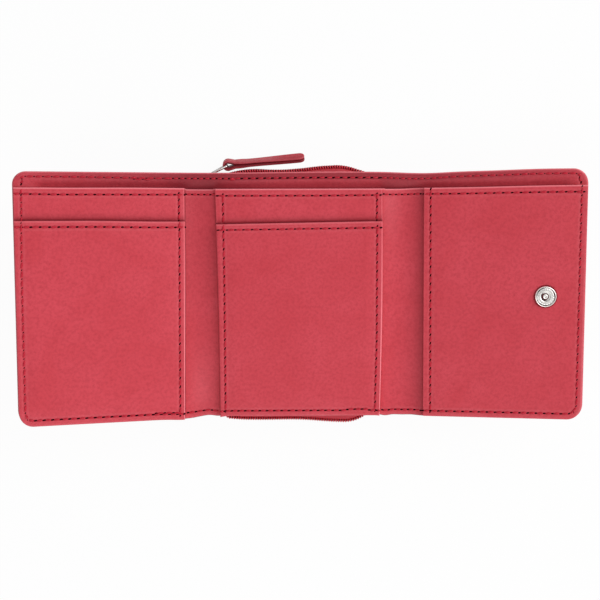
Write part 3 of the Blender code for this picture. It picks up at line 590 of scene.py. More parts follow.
# stitch rows: a height or s, or the (along, across) places that the row runs through
rows = {
    "pitch": 3.3,
    "shellTop": ([-106, -80, -60, 45, 57, 107], [93.05, 92.98, 92.7, 92.7, 93.06, 93.15]),
    "linerTop": (
        [-107, -90, -62, -44.5, -44.3, -32.3, -32.1, 10, 32.0, 32.2, 47.7, 47.9, 107],
        [86.3, 86.05, 85.95, 86.05, 86.6, 86.55, 85.9, 85.9, 86.1, 86.45, 86.3, 86.25, 86.05],
    ),
    "mouthLeft": 73.45,
    "mouth": 73.18,
    "bottom": (
        [-107, -44.5, -44.3, -32.3, -32.1, 17.8, 18.8, 26.2, 27.4, 32.0, 32.2, 47.7, 47.9, 107],
        [2.72, 2.72, 2.5, 2.35, 2.42, 2.42, 2.85, 2.85, 2.35, 2.42, 2.35, 2.35, 2.6, 2.65],
    ),
    "leftEnd": ([0, 55, 70, 85, 95], [-104.3, -104.3, -104.1, -103.9, -103.9]),
    "leftInner": ([0, 95], [-47.0, -46.2]),
    "middleLeft": -29.5,
    "middleRight": ([0, 10, 30, 95], [29.3, 29.4, 29.9, 29.9]),
    "rightInner": ([0, 95], [51.1, 50.45]),
    "rightEnd": 106.42,
}
rowEnds = (-104.3, 106.42)
insetEdge = 0.5                # inner layers stop this far inside the outer leather
mouthHeight = wrap["linerTop"] - 13.0
cardLeft = (-(wrap["leftEnd"] - insetEdge), -(leftOuter + 2.35))
cardMiddle = (-wrap["middleHalf"], wrap["middleHalf"])
snapPanel = (rightOuter + 0.2, wrap["rightEnd"] - insetEdge)


# (s, share) of the dark colour, in the opening and on the strip above its row
shadeAlong = {
    "opening": (
        [-107, -97, -88, -79, -66, -53, -45, -34, -28, -20, -9, 20, 30, 34, 44, 50, 58, 69, 88, 109],
        [0.10, 0.08, 0.19, 0.30, 0.46, 0.50, 0.78, 0.86, 0.50, 0.38, 0.20, 0.27, 0.30, 0.62, 0.66, 0.40,
         0.34, 0.27, 0.18, 0.05],
    ),
    "strip": (
        [-107, -97, -79, -60, -44, -20, 0, 24, 45, 61, 78, 95, 104, 109],
        [0.18, 0.27, 0.45, 0.58, 0.86, 0.80, 0.68, 0.75, 0.70, 0.62, 0.52, 0.34, 0.24, 0.10],
    ),
}


def betweenEnds(s, margin, ease):
    inside = np.minimum(s + wrap["leftEnd"], wrap["rightEnd"] - s) - margin
    return smoothStep(inside / ease)


def shellFront(s, v):
    # turned hem along the sides and bottom; at the top the strip slopes back down behind the inner leather
    inward = np.minimum(v - 7.0, np.minimum(s + wrap["leftEnd"] - 7.0, wrap["rightEnd"] - 7.0 - s))
    hem = -1.1 - 1.05 * smoothStep((inward + 0.6) / 1.2)
    strip = -0.95 - 1.3 * betweenEnds(s, 4.0, 7.0) * (1 - smoothStep((v - 88.2) / 5.0))
    share = smoothStep((v - 86.3) / 1.8)
    return hem * (1 - share) + strip * share


def bandShade(s, v):
    # painted shade: the strip above the inner leather is darker than its rim, and darkest in a line along the
    # inner leather
    opening, strip = (np.interp(s, *shadeAlong[part]) for part in ("opening", "strip"))
    share = opening + (strip - opening) * smoothStep((v - 91.6) / 0.8)
    line = 0.45 * smoothStep((89.3 - v) / 0.6)
    return np.clip(share + line, 0, 1) * (1 - smoothStep((v - 94.35) / 0.35))


shellRows = [
    ("level", rows["shellTop"], *rowEnds), ("level", rows["bottom"], *rowEnds),
    ("upright", rows["leftEnd"], 1.0, 93.0), ("upright", rows["rightEnd"], 1.0, 93.0),
]
linerRows = [("level", rows["linerTop"], *rowEnds), ("level", rows["bottom"], *rowEnds)]


def spineHollow(s, v):
    # between the panels the inner leather sinks in a shallow arch, and lies flat only at its lower edge
    left, right = arch(s, cardLeft[1], cardMiddle[0]), arch(s, cardMiddle[1], snapPanel[0])
    return -(0.45 * left + 0.85 * right) * smoothStep((v - 1.0) / 6.0)


def leftEdgeShift(t):
    # how far the left panel's inner side leans over: t is -1 at the bottom and 1 at the top
    return 0.75 * t - 0.45 * np.maximum(t, 0) ** 2


def spinePaintedHighlight(s, v):
    # painted highlight: paler at the upper end of the wide spine and at the lower end of the narrow one
    wide, narrow = ridges(s, 35.0, 4.2) * ridges(v, 84.0, 16.0), ridges(s, -38.5, 5.0) * ridges(v, 11.0, 13.0)
    return 0.12 * (wide + narrow)


def spineShade(s, v):
    # painted shade: dark towards the panel at its right, with crisp painted shadow lines along the edges of
    # the panels beside it
    t = upHeight(v)
    left = 0.24 * np.clip((v - 10) / 75, 0, 1) * smoothStep((-31.0 - s) / 2.0)
    right = 0.16 * smoothStep((s - 39) / 6) + 0.26 * smoothStep((s - 43.4) / 3.8)
    atMiddle = 0.62 * smoothStep((s + 31.92 + 0.785 * t + 0.42 * t * t) / 0.4) * (s < 0)
    atRight = 0.6 * smoothStep((s - 47.3 - 0.2 * (1 - t)) / 0.5) * (s > 0)
    atLeft = 0.6 * smoothStep((-43.65 + leftEdgeShift(t) - s) / 0.4)
    return np.maximum(left + right, atMiddle + atRight + atLeft)


# lines close together where the panels' edges draw their crisp shade
shadeKnots = np.concatenate([
    np.arange(-44.6, -42.8, 0.2), np.arange(-34.2, -30.0, 0.2), np.arange(46.8, 48.6, 0.15),
])
shellSheets, linerSheets = {}, {}
for label, stretch in stretches.items():
    low, high = stretch["s"]
    first, last = label == "Left", label == "Right"
    shellSheets[label] = makeSheet(
        s0=low, s1=high, v0=0.0, v1=wrap["shellTop"], turnedLow=first, turnedHigh=last, round=0.95,
        front=shellFront, back=level(-3.1), puff=0.0, wave=0.06, seed=1.3, rows=shellRows,
        glow={"top": (0.5, 0.35), "low": (0.25, 0.9), "left": (0.05, 0.5), "right": (0.40, 1.1)},
        dip=upperDip, dipFrom=(86.0, 8.0), shade=bandShade,
        corners=("left lower", "left upper") if first else ("right lower", "right upper") if last else (),
    )
    linerSheets[label] = makeSheet(
        s0=low + insetEdge * first, s1=high - insetEdge * last, v0=insetEdge, v1=wrap["linerTop"],
        turnedLow=first, turnedHigh=last, round=0.4, puff=0.0, wave=0.03, seed=2.9, rows=linerRows,
        front=spineHollow, back=lambda s, v: spineHollow(s, v) - 0.8,
        shade=spineShade, pale=spinePaintedHighlight, knotsS=shadeKnots,
        corners=("left lower",) if first else ("right lower",) if last else (), cornerRadius=5.9,
    )
    tags = {
        "Left": ["_left"], "LeftMiddle": ["_left_spine", "_middle"], "RightMiddle": ["_right_spine"],
        "Right": ["_right"],
    }[label]
    for layer, sheet in (("shell", shellSheets[label]), ("liner", linerSheets[label])):
        piece = leatherSheet(layer + label, sheet)
        bendOver(piece, stretch)
        fit(piece, [layer + tag for tag in tags])
print("outer and inner leather laid")


# card panels
card = {
    "baseFront": 1.1,
    "baseBack": 0.25,
    "pocketBack": 1.2,
    "pocketFront": 2.55,
    "pocketRise": 0.2,         # the middle of a pocket stands this much prouder than its seams
    "slotDepth": 0.75,
    "mouthTilt": 0.0163,       # the middle pocket's mouth rises by this much a millimetre to the right
}


def baseFront(s, v):
    # sinks behind the pocket's mouth, where a card slides in
    sunk = ridges(v, mouthHeight - 0.2, 1.6) * smoothStep((v - mouthHeight + 3.0) / 2.0)
    return card["baseFront"] - 0.45 * sunk


def mouthShade(s, v):
    # painted shadow along the pocket's mouth, where the base sinks behind it
    return 0.75 * ridges(v, mouthHeight + 0.2, 0.42) + 0.22 * ridges(v, mouthHeight + 0.6, 1.6)


def pocketFront(s, v):
    return card["pocketFront"] + 0.12 * ridges(v, mouthHeight, 1.2)


def pocketBack(low, high):
    # seams on three sides, and a slot open at the mouth
    def back(s, v):
        inside = smoothStep(s - low - 3.2) * smoothStep(high - 3.2 - s) * smoothStep(v - 4.0)
        return card["pocketBack"] + card["slotDepth"] * inside
    return back


def middleLean(s, v):
    # both sides curve a little, the left one also leans; the stitch rows beside them stay straighter
    t = upHeight(v)
    rowShift = 0.6 - 0.45 * smoothStep(t)
    leftEdge = (0.70 - 0.785 * t - 0.42 * t * t - rowShift) * np.clip((-29.9 - s) / 2.2, 0, 1)
    rightEdge = (0.05 + 0.33 * t - 0.63 * t * t) * np.clip((s - 30.2) / 1.9, 0, 1)
    return rowShift * smoothStep((-20 - s) / 8) + leftEdge + rightEdge


def leftLean(s, v):
    return leftEdgeShift(upHeight(v)) * np.clip((s + 46.3) / 1.95, 0, 1)


def rightLean(s, v):
    return 0.2 * (1 - upHeight(v)) * np.clip((49.8 - s) / 2.0, 0, 1)


def middleTilt(s):
    return 0.23 - card["mouthTilt"] * s


def leftTilt(s):
    return -0.37 - 0.38 * smoothStep((-52 - s) / 30)


def cardPanel(tag, body, span, sideRows, mouthRow, seed, pocketLow, **bent):
    # base and pocket share their sides, and the corners, lean and tilt that bend them
    sides = [("upright", rows[place], 1.5, wrap["linerTop"] - 1.5) for place in sideRows]
    shared = {"s0": span[0], "s1": span[1], "turnedLow": True, "turnedHigh": True, "cornerRadius": 5.9}
    shared.update(bent)
    base = makeSheet(
        v0=insetEdge, v1=wrap["linerTop"], round=0.42, front=baseFront, back=level(card["baseBack"]),
        puff=0.08, wave=0.04, seed=seed, rows=[("level", rows["linerTop"], *span)] + sides, shade=mouthShade,
        knotsV=mouthHeight + np.array([-0.6, -0.3, 0.0, 0.2, 0.4, 0.6, 0.9, 1.3]), **shared,
    )
    pocket = makeSheet(
        v0=pocketLow, v1=mouthHeight, round=0.7, front=pocketFront, back=pocketBack(*span), wave=0.06,
        puff=card["pocketRise"], seed=seed + 0.7, glow={**sheetDefaults["glow"], "top": (0.3, 0.5)},
        rows=[
            ("level", mouthRow, span[0] + 0.5, span[1] - 0.5), ("level", rows["bottom"], *span), *sides,
        ], **shared,
    )
    for sheet, name, node in ((base, "cardBase", "card_base_"), (pocket, "cardPocket", "card_pocket_")):
        fit(leatherSheet(name + tag, sheet), [node + tag.lower()], body)
    return base, pocket


baseLeft, pocketLeft = cardPanel(
    "Left", "left_flap", cardLeft, ("leftEnd", "leftInner"), rows["mouthLeft"], 0.4, insetEdge,
    corners=("left lower",), lean=leftLean, tilt=leftTilt,
)
baseMiddle, pocketMiddle = cardPanel(
    "Middle", "middle", cardMiddle, ("middleLeft", "middleRight"), rows["mouth"], 3.1, 0.25,
    lean=middleLean, tilt=middleTilt,
)
snap = {
    "socket": (94.0, 47.2),    # (s, v) of each half
    "stud": (-62.7, 47.2),
    "radius": 4.0,
    "seat": 0.3,
    "socketBase": 1.15,        # w that each half's profile is counted from
    "studBase": -3.4,
}


def fromSnap(s, v):
    return np.hypot(s - snap["socket"][0], v - snap["socket"][1])


def snapFront(s, v):
    # the leather is pressed down under the socket
    return card["baseFront"] - snap["seat"] * smoothStep((snap["radius"] + 0.55 - fromSnap(s, v)) / 0.45)


def snapShade(s, v):
    # painted shadow: a dark ring round the socket's foot
    return 0.85 * smoothStep((snap["radius"] + 0.42 - fromSnap(s, v)) / 0.3)


snapKnots = np.concatenate([
    np.arange(-4.9, -2.4, 0.12), np.arange(-2.4, 2.4, 0.3), np.arange(2.4, 4.95, 0.12),
])
snapSheet = makeSheet(
    s0=snapPanel[0], s1=snapPanel[1], v0=insetEdge, v1=wrap["linerTop"], turnedLow=True, turnedHigh=True,
    front=snapFront, back=level(card["baseBack"]), round=0.42, puff=0.12, wave=0.08, seed=5.2,
    shade=snapShade,
    knotsS=snap["socket"][0] + snapKnots, knotsV=snap["socket"][1] + snapKnots,
    glow={**sheetDefaults["glow"], "top": (0.70, 0.34), "right": (0.35, 0.7)},
    corners=("right lower",), cornerRadius=5.9, lean=rightLean,
    rows=[
        ("level", rows["linerTop"], *snapPanel), ("level", rows["bottom"], *snapPanel),
        ("upright", rows["rightInner"], 1.5, 87.2), ("upright", rows["rightEnd"], 1.5, 87.2),
    ],
)
fit(leatherSheet("snapPanel", snapSheet), ["snap_panel"], "right_flap")
print("card panels laid")


# stitches
stitch = {
    "length": 2.4,
    "radius": 0.35,
    "rise": 0.10,
    "threadSlant": {"level": 0.05, "upright": 0.16},
    "holeSlant": {"level": 0.1, "upright": 0.4},
    "hole": (0.60, 0.33, 0.06),
}


def capsule(length, radius, rise, rings=6, sides=6):
    # along = half length * sin(a), radius * cos(a)^0.6 round it; the ends sink under the leather
    a = np.linspace(-math.pi / 2, math.pi / 2, rings + 1)
    b = np.linspace(0, 2 * math.pi, sides, endpoint=False)
    a, b = np.meshgrid(a, b, indexing="ij")
    r = radius * np.abs(np.cos(a)) ** 0.6
    along = length / 2 * np.sin(a)
    height = r * np.sin(b) + rise - (rise + 0.6 * radius) * np.sin(a) ** 4
    return np.stack([along, r * np.cos(b), height], axis=-1), gridFaces(rings + 1, sides, closeColumns=True)


threadShape, threadFaces = capsule(stitch["length"], stitch["radius"], stitch["rise"])
# the holes are flat near-black capsules on the leather: painted shade in place of real holes
holeShape, holeFaces = capsule(2 * stitch["hole"][0], stitch["hole"][1], 0.0, 4, 8)
holeShape[..., 2] = holeShape[..., 2] * stitch["hole"][2] / stitch["hole"][1] + 0.02
stitchGroups = {}


def addShapes(group, points, faces, material):
    stitchGroups.setdefault(group, []).append((points.reshape(len(points), -1, 3), faces, material))


def addRow(
    group, sheet, direction, place, low, high,
    face=1, start=0.0, holeSize=1.0, offset=0.0, pitch=rows["pitch"],
):
    # stitches between low and high along a row of one sheet; a hole lies at each end of a stitch
    first, last = math.ceil((low - start) / pitch - 1e-6), math.floor((high - start) / pitch + 1e-6)
    centres = start + pitch * np.arange(first, last + 1)
    holes = start + pitch * (np.arange(first, last + 2) - 0.5)
    holes = holes[(holes >= low - 0.3) & (holes <= high + 0.3)]
    threads = threadShape * np.array([pitch / rows["pitch"], 1.0, 1.0])
    openings = holeShape * np.append(np.broadcast_to(holeSize, 2), 1.0)
    for middles, shape, faces, material, slants in (
        (centres, threads, threadFaces, 0, "threadSlant"), (holes, openings, holeFaces, 1, "holeSlant"),
    ):
        slant = stitch[slants][direction]
        along = middles[:, None, None] + shape[None, ..., 0]
        line = rowLine(place, middles) + offset
        across = line[:, None, None] + shape[None, ..., 1] + slant * shape[None, ..., 0] * face
        s, v = (along, across) if direction == "level" else (across, along)
        front, back, _ = sheetSurface(*((middles, line) if direction == "level" else (line, middles)), sheet)
        w = (front if face > 0 else back)[:, None, None] + face * shape[None, ..., 2]
        addShapes(group, sheetPoint(s, v, w, sheet), faces, material)


def buildStitches(group):
    points, faces, materials, start = [], [], [], 0
    for cloud, shape, material in stitchGroups[group]:
        count, size = cloud.shape[:2]
        offsets = start + size * np.arange(count)
        faces.append((offsets[:, None, None] + shape[None]).reshape(-1, 4))
        points.append(cloud.reshape(-1, 3))
        materials.append(np.full(count * len(shape), material))
        start += count * size
    name = "stitches" + group[0].upper() + group[1:]
    piece = meshObject(name, np.concatenate(points), np.concatenate(faces))
    paint(piece, redThread, paintedHoleShade)
    piece.data.polygons.foreach_set("material_index", np.concatenate(materials).astype(np.int32))
    cleanMesh(piece, 0.0005)
    return piece


# the opening's row: (from, to, pitch, size of the holes along and across it)
openingRuns = [
    (rowEnds[0], -50.0, 3.15, (0.6, 0.6)), (-50.0, leftSplit, 2.35, (0.7, 0.8)),
    (leftSplit, -25.0, 2.35, (0.8, 1.0)), (-24.2, 0.0, 2.95, (1.35, 1.1)),
    (0.0, 31.0, 2.95, (1.35, 1.1)), (31.0, rightSplit, 2.35, (0.6, 0.6)),
    (rightSplit, 55.0, 2.35, (0.55, 0.55)), (55.0, rowEnds[1], 2.95, (0.55, 0.55)),
]
for low, high, pitch, holeSize in openingRuns:
    label = next(label for label, stretch in stretches.items() if stretch["s"][0] <= low < stretch["s"][1])
    addRow(
        label, shellSheets[label], "level", rows["shellTop"], low, high - 0.01,
        pitch=pitch, holeSize=holeSize,
    )
for label, low, high in (
    ("Left", rowEnds[0], -38.5), ("RightMiddle", 32.0, rightSplit), ("Right", rightSplit, rowEnds[1]),
):
    sheet = shellSheets[label]
    for place in (rows["shellTop"], rows["bottom"]):
        addRow(label, sheet, "level", place, low, high, face=-1)
    if label != "RightMiddle":
        place = rows[label.lower() + "End"]
        addRow(label, sheet, "upright", place, 2.5, 92.5, face=-1, start=0.6)
        addRow(label, sheet, "upright", place, 90.2, 92.5, start=91.2, pitch=2.4)
# the inner leather's rows between the panels: from, to, pitch above, pitch below
for label, low, high, above, below in (
    ("Left", cardLeft[1], leftSplit, 2.35, 3.1), ("LeftMiddle", leftSplit, cardMiddle[0], 2.35, 3.1),
    ("RightMiddle", cardMiddle[1], rightSplit, 2.4, 2.5), ("Right", rightSplit, snapPanel[0], 2.4, 2.5),
):
    addRow(label, linerSheets[label], "level", rows["linerTop"], low, high, pitch=above, holeSize=0.9)
    addRow(label, linerSheets[label], "level", rows["bottom"], low, high, pitch=below, start=1.2)
# the card panels: row of the mouth, where the bottom row starts, its pitch, and each side row's pitches
for group, base, pocket, span, mouthRow, inset, bottomPitch, places in (
    ("cardLeft", baseLeft, pocketLeft, cardLeft, "mouthLeft", 3.6, 3.1,
     (("leftEnd", 2.7, 3.3, (0.6, 0.6)), ("leftInner", 2.65, 3.35, (1.1, 0.95)))),
    ("cardMiddle", baseMiddle, pocketMiddle, cardMiddle, "mouth", 0.6, 2.85,
     (("middleLeft", 3.5, 3.5, (1.1, 0.95)), ("middleRight", 2.65, 3.4, (1.1, 0.95)))),
):
    low, high = span[0] + 0.5, span[1] - 0.3
    addRow(group, base, "level", rows["linerTop"], low, high)
    addRow(group, pocket, "level", rows[mouthRow], low, high)
    bottomLook = {"pitch": bottomPitch, "holeSize": (1.3, 1.0)}
    addRow(group, pocket, "level", rows["bottom"], span[0] + inset, high, **bottomLook)
    for place, above, below, holeSize in places:
        holes = {"start": 0.6, "holeSize": holeSize}
        addRow(group, base, "upright", rows[place], mouthHeight + 0.6, 87.8, pitch=above, **holes)
        addRow(group, pocket, "upright", rows[place], 2.2, mouthHeight - 0.4, pitch=below, **holes)
addRow("snapPanel", snapSheet, "level", rows["linerTop"], snapPanel[0] + 0.3, snapPanel[1] - 0.5)
addRow("snapPanel", snapSheet, "level", rows["bottom"], snapPanel[0] + 0.3, rowEnds[1], pitch=3.1)
addRow("snapPanel", snapSheet, "upright", rows["rightInner"], 2.2, 87.8, start=0.6, holeSize=(1.1, 0.95))
addRow("snapPanel", snapSheet, "upright", rows["rightEnd"], 2.2, 87.8, start=0.6, holeSize=0.75)
# short second runs where a seam was fastened off
addRow("cardLeft", pocketLeft, "level", rows["bottom"], -56.0, -47.5, start=1.5, offset=0.45)
for label, low, high, start, offset, holeSize in (
    ("Left", -63.5, -57.0, 1.5, -0.45, 0.6), ("LeftMiddle", -27.2, -24.2, -25.7, -0.5, 0.0),
):
    addRow(
        label, shellSheets[label], "level", rows["shellTop"], low, high,
        start=start, offset=offset, holeSize=holeSize,
    )
for label, stretch in stretches.items():
    bendOver(buildStitches(label), stretch)
for group, body in (("cardLeft", "left_flap"), ("cardMiddle", "middle"), ("snapPanel", "right_flap")):
    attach(buildStitches(group), body)
print("stitches sewn")


# the zip's line: up over the top, round two corners and back along the bottom
zipLook = {
    "left": -36.7,
    "right": 31.0,
    "topCorner": 16.0,
    "bottomCorner": 12.5,
    "topLeft": 92.6,
    "topRise": 5.28,
    "bottomLeft": -1.6,
    "bottomFall": 1.7,
    "plane": 8.6,              # depth behind the inner leather's face
    "rowOffset": 0.82,
    "coilPitch": 0.95,
    "coilDeep": 0.80,
    "coilHigh": 0.62,
    "wire": 0.29,
    "tape": 0.42,
    "flange": 5.0,
    "flangeAt": (3.4, 13.8),   # depths of the leather that each tape is sewn to
    "tapeBend": 0.9,
    "tuck": 2.3,               # the lower end is drawn in by this much behind the spine
    "slant": 2.3,              # the tape climbs this far out from the leather to the coil
    "tapeIn": 0.75,            # and meets the coil this far inside its middle
}
# how far the closed zip stands off its line at each distance along it; negative ones count from its far end
zipWaveAt = {
    0.0: 0.4, 6.0: 0.5, 9.0: 0.7, 12.0: 1.1, 17.0: 1.35, 21.0: 1.08, 25.0: 0.5, 30.0: 0.0, 37.0: -0.2,
    46.0: -0.05, 51.0: -0.22, 57.0: -0.12, 60.0: 0.22, 62.5: 0.95, 65.0: 1.48, 68.0: 1.6, 73.0: 0.9,
    82.0: 0.0, -78.0: 0.0, -69.0: 0.28, -62.0: 0.35, -53.0: 0.60, -36.9: 0.04, -20.8: 0.50, -13.5: 0.55,
    -8.6: 0.3, -0.01: 0.1,
}


def makeZipRuns():
    # straight top, upper corner, straight side, lower corner, straight bottom, and where each one ends
    rise, fall, left = math.radians(zipLook["topRise"]), math.radians(zipLook["bottomFall"]), zipLook["left"]
    upperRadius, lowerRadius = zipLook["topCorner"], zipLook["bottomCorner"]
    upperX, lowerX = zipLook["right"] - upperRadius, zipLook["right"] - lowerRadius
    upperY = zipLook["topLeft"] + (upperX - left) * math.tan(rise) - upperRadius / math.cos(rise)
    lowerY = zipLook["bottomLeft"] - (lowerX - left) * math.tan(fall) + lowerRadius / math.cos(fall)
    topEnd = (upperX - upperRadius * math.sin(rise), upperY + upperRadius * math.cos(rise))
    bottomStart = (lowerX - lowerRadius * math.sin(fall), lowerY - lowerRadius * math.cos(fall))
    lengths = [
        math.hypot(topEnd[0] - left, topEnd[1] - zipLook["topLeft"]),
        upperRadius * (math.pi / 2 + rise),
        upperY - lowerY,
        lowerRadius * (math.pi / 2 + fall),
        math.hypot(bottomStart[0] - left, bottomStart[1] - zipLook["bottomLeft"]),
    ]
    return {
        "rise": rise, "fall": fall,
        "upper": (upperX, upperY, upperRadius), "lower": (lowerX, lowerY, lowerRadius),
        "bottomStart": bottomStart, "ends": np.concatenate([[0], np.cumsum(lengths)]),
    }


zipRuns = makeZipRuns()
zipLength = float(zipRuns["ends"][-1])


def zipLine(distance):
    # distance along the zip -> (x, height) and the unit direction; straight, arc, straight, arc, straight
    distance = np.asarray(distance, dtype=float)
    r = zipRuns
    run = np.clip(np.searchsorted(r["ends"], distance, side="right") - 1, 0, 4)
    along = distance - r["ends"][run]
    upper = run < 2
    centreX, centreY, radius = (np.where(upper, a, b) for a, b in zip(r["upper"], r["lower"]))
    angle = np.where(upper, math.pi / 2 + r["rise"], 0.0) - along / radius
    arc = np.stack([centreX + radius * np.cos(angle), centreY + radius * np.sin(angle)], axis=-1)
    arcWay = np.stack([np.sin(angle), -np.cos(angle)], axis=-1)
    point, way = arc, arcWay
    for number, start, straight in (
        (0, (zipLook["left"], zipLook["topLeft"]), (math.cos(r["rise"]), math.sin(r["rise"]))),
        (2, (zipLook["right"], r["upper"][1]), (0.0, -1.0)),
        (4, r["bottomStart"], (-math.cos(r["fall"]), math.sin(r["fall"]))),
    ):
        here, straight = (run == number)[..., None], np.array(straight)
        point = np.where(here, np.array(start) + along[..., None] * straight, point)
        way = np.where(here, straight, way)
    return point, way


def zipWave(distance):
    # a smooth curve through the listed places: on each stretch the cubic with their heights and slopes
    knots, heights = (np.array(list(part)) for part in (zipWaveAt.keys(), zipWaveAt.values()))
    knots = np.where(knots < 0, zipLength + knots, knots)
    slopes = np.gradient(heights, knots)
    i = np.clip(np.searchsorted(knots, distance, side="right") - 1, 0, len(knots) - 2)
    width = knots[i + 1] - knots[i]
    t = np.clip((distance - knots[i]) / width, 0, 1)
    return (
        (1 + 2 * t) * (1 - t) ** 2 * heights[i] + t * (1 - t) ** 2 * width * slopes[i]
        + t * t * (3 - 2 * t) * heights[i + 1] - t * t * (1 - t) * width * slopes[i + 1]
    )


def lowerTuck(distance):
    return zipLook["tuck"] * smoothStep((distance - zipLength + 8.8) / 4.0)


def layDown(x, height, depth):
    # the upright wallet's x, height and depth behind the inner face, in the lying wallet's millimetres
    x, height, depth = np.broadcast_arrays(x, height, depth)
    return np.stack([originX + x, originY + height, originZ - depth], axis=-1)


def zipPoint(distance, out, depth):
    # point = line(distance) + out * outward normal, at that depth
    point, way = zipLine(distance)
    return layDown(point[..., 0] - out * way[..., 1], point[..., 1] + out * way[..., 0], depth)


def tube(name, path, radius, sides, reference, marks, closed=False):
    # circle of the given radius carried along the path, its frame taken from the reference direction;
    # marks are an attribute's name and its values by place on the path and round the circle
    way = np.roll(path, -1, axis=0) - np.roll(path, 1, axis=0) if closed else np.gradient(path, axis=0)
    way /= np.linalg.norm(way, axis=1, keepdims=True)
    side = np.cross(way, reference)
    side /= np.linalg.norm(side, axis=1, keepdims=True)
    other = np.cross(way, side)
    angle = np.linspace(0, 2 * math.pi, sides, endpoint=False)[None, :, None]
    points = path[:, None] + radius * (side[:, None] * np.cos(angle) + other[:, None] * np.sin(angle))
    label, values = marks
    values = np.broadcast_to(values, (len(path), sides))
    if not closed:
        ends = [np.repeat(path[place], sides, 0)[None] for place in (slice(1), slice(-1, None))]
        points = np.concatenate([ends[0], points, ends[1]])
        values = np.concatenate([values[:1], values, values[-1:]])
    piece = meshObject(name, points, gridFaces(len(points), sides, closed, True))
    pointAttribute(piece, label, values)
    return cleanMesh(piece, 0.0005)


def coilRow(name, side, phase):
    # a flattened helix: out = high * cos(t), depth = plane + offset + deep * sin(t), one turn a pitch
    turns = (zipLength - 2.6) / zipLook["coilPitch"]
    t = np.linspace(0, 2 * math.pi * turns, int(turns * 10))
    distance = 1.4 + zipLook["coilPitch"] * (t / (2 * math.pi) + phase)
    depth = zipLook["plane"] + side * (zipLook["rowOffset"] + zipLook["coilDeep"] * np.sin(t))
    out = zipLook["coilHigh"] * np.cos(t) + zipWave(distance) - lowerTuck(distance)
    path = zipPoint(distance, out, depth)
    reference = np.pad(zipLine(distance)[1], ((0, 0), (0, 1)))
    # painted shade on the half of each turn that faces the other row
    coilPaintedShade = smoothStep(0.45 - 0.9 * np.sin(t))         # the half of each turn that faces the other row
    piece = tube(name, path, zipLook["wire"], 5, reference, ("deep", coilPaintedShade[:, None]))
    return paint(piece, coilNylon)


def zipTape(name, side):
    # the woven band runs from the coil to the leather, bends there and lies on it
    start = zipLook["plane"] + side * (zipLook["rowOffset"] + 0.55)
    half, bend = zipLook["tape"] / 2, zipLook["tapeBend"]
    reach = zipLook["flangeAt"][side > 0] - side * (half + 0.05)
    straight = np.linspace(start, reach - side * bend, 7)
    turn = np.linspace(0, math.pi / 2, 7)[1:]
    flange = np.linspace(-bend, -zipLook["flange"], 9)[1:]
    out = np.concatenate([np.zeros(7), -bend * (1 - np.cos(turn)), flange])
    depth = np.concatenate([straight, reach - side * bend * (1 - np.sin(turn)), np.full(8, reach)])
    outWay, depthWay = np.gradient(out), np.gradient(depth)
    size = np.hypot(outWay, depthWay)
    outNormal, depthNormal = depthWay / size, -outWay / size
    across = np.concatenate([[0], np.cumsum(np.hypot(np.diff(out), np.diff(depth)))])
    share = np.clip(across / across[12], 0, 1)          # 1 where the band has reached the leather
    out = out - zipLook["tapeIn"] - zipLook["slant"] * share
    distance = np.unique(np.concatenate([np.linspace(0.05, zipLength - 0.05, 190), zipRuns["ends"][1:-1]]))
    d, k = np.meshgrid(distance, np.arange(len(out)), indexing="ij")
    wave = 0.06 * np.sin(d / 1.7) * np.sin(math.pi * k / (len(out) - 1))
    wave = wave + zipWave(d) * (1 - smoothStep(share[k])) - lowerTuck(d)
    faces = [                   # the first looks out of the pouch
        zipPoint(d, out[k] + sign * half * outNormal[k] + wave, depth[k] + sign * half * depthNormal[k])
        for sign in (side, -side)
    ]
    return paint(solidSheet(name, *faces, uv=(d, across[k])), tapeCloth)


for tag, side, body, phase in (("Inner", -1, "middle", 0.0), ("Outer", 1, "pouch_cover", 0.5)):
    fit(coilRow("zipCoil" + tag, side, phase), ["zip_teeth_" + tag.lower()], body)
    fit(zipTape("zipTape" + tag, side), ["zip_tape_" + tag.lower()], body)
print("zip wound:", round(zipLength), "mm")


# coin pouch
pouch = {
    "outer": -37.9,            # side wall's outer face
    "wallThick": 0.8,
    "coverThick": 1.0,
    "coverFront": 14.1,
    "wallTop": 3.35,
    "fold": 1.7,
    "inset": 0.4,
    "wallLow": 3.6,
    "wallHigh": 88.6,
    "stitchInset": 2.6,
    "liningInset": 3.6,
    "liningHalf": 0.13,
    "liningDepths": (4.35, 12.85),
}


def outlineHeights(x, inset):
    # lower and upper limit of the outline inside the zip's line at x: slopes, then a quarter circle each
    limits = []
    for corner, slope, sign in (("lower", zipRuns["fall"], -1), ("upper", zipRuns["rise"], 1)):
        centreX, centreY, radius = zipRuns[corner]
        radius -= inset
        across = np.clip((x - centreX) / radius, -1, 1)
        height = np.where(
            x > centreX - radius * math.sin(slope), radius * np.sqrt(1 - across ** 2),
            radius / math.cos(slope) + (x - centreX) * math.tan(slope),
        )
        limits.append(centreY + sign * height)
    limits[0] = limits[0] + zipLook["tuck"] * smoothStep((zipLook["left"] + 8.8 - x) / 4.0)
    return limits


def outlineColumns(left, inset, step=1.6):
    # x of the columns, crowded towards the round end as x = centre + radius * sin(a)
    centreX, _, radius = zipRuns["upper"]
    radius -= inset
    a = np.linspace(0, math.pi / 2, 24)[:-1]
    near = centreX + radius - np.array([1.1, 0.75, 0.5, 0.34, 0.2, 0.1, 0.03, 0.0])
    return np.unique(np.concatenate([np.arange(left, centreX, step), centreX + radius * np.sin(a), near]))


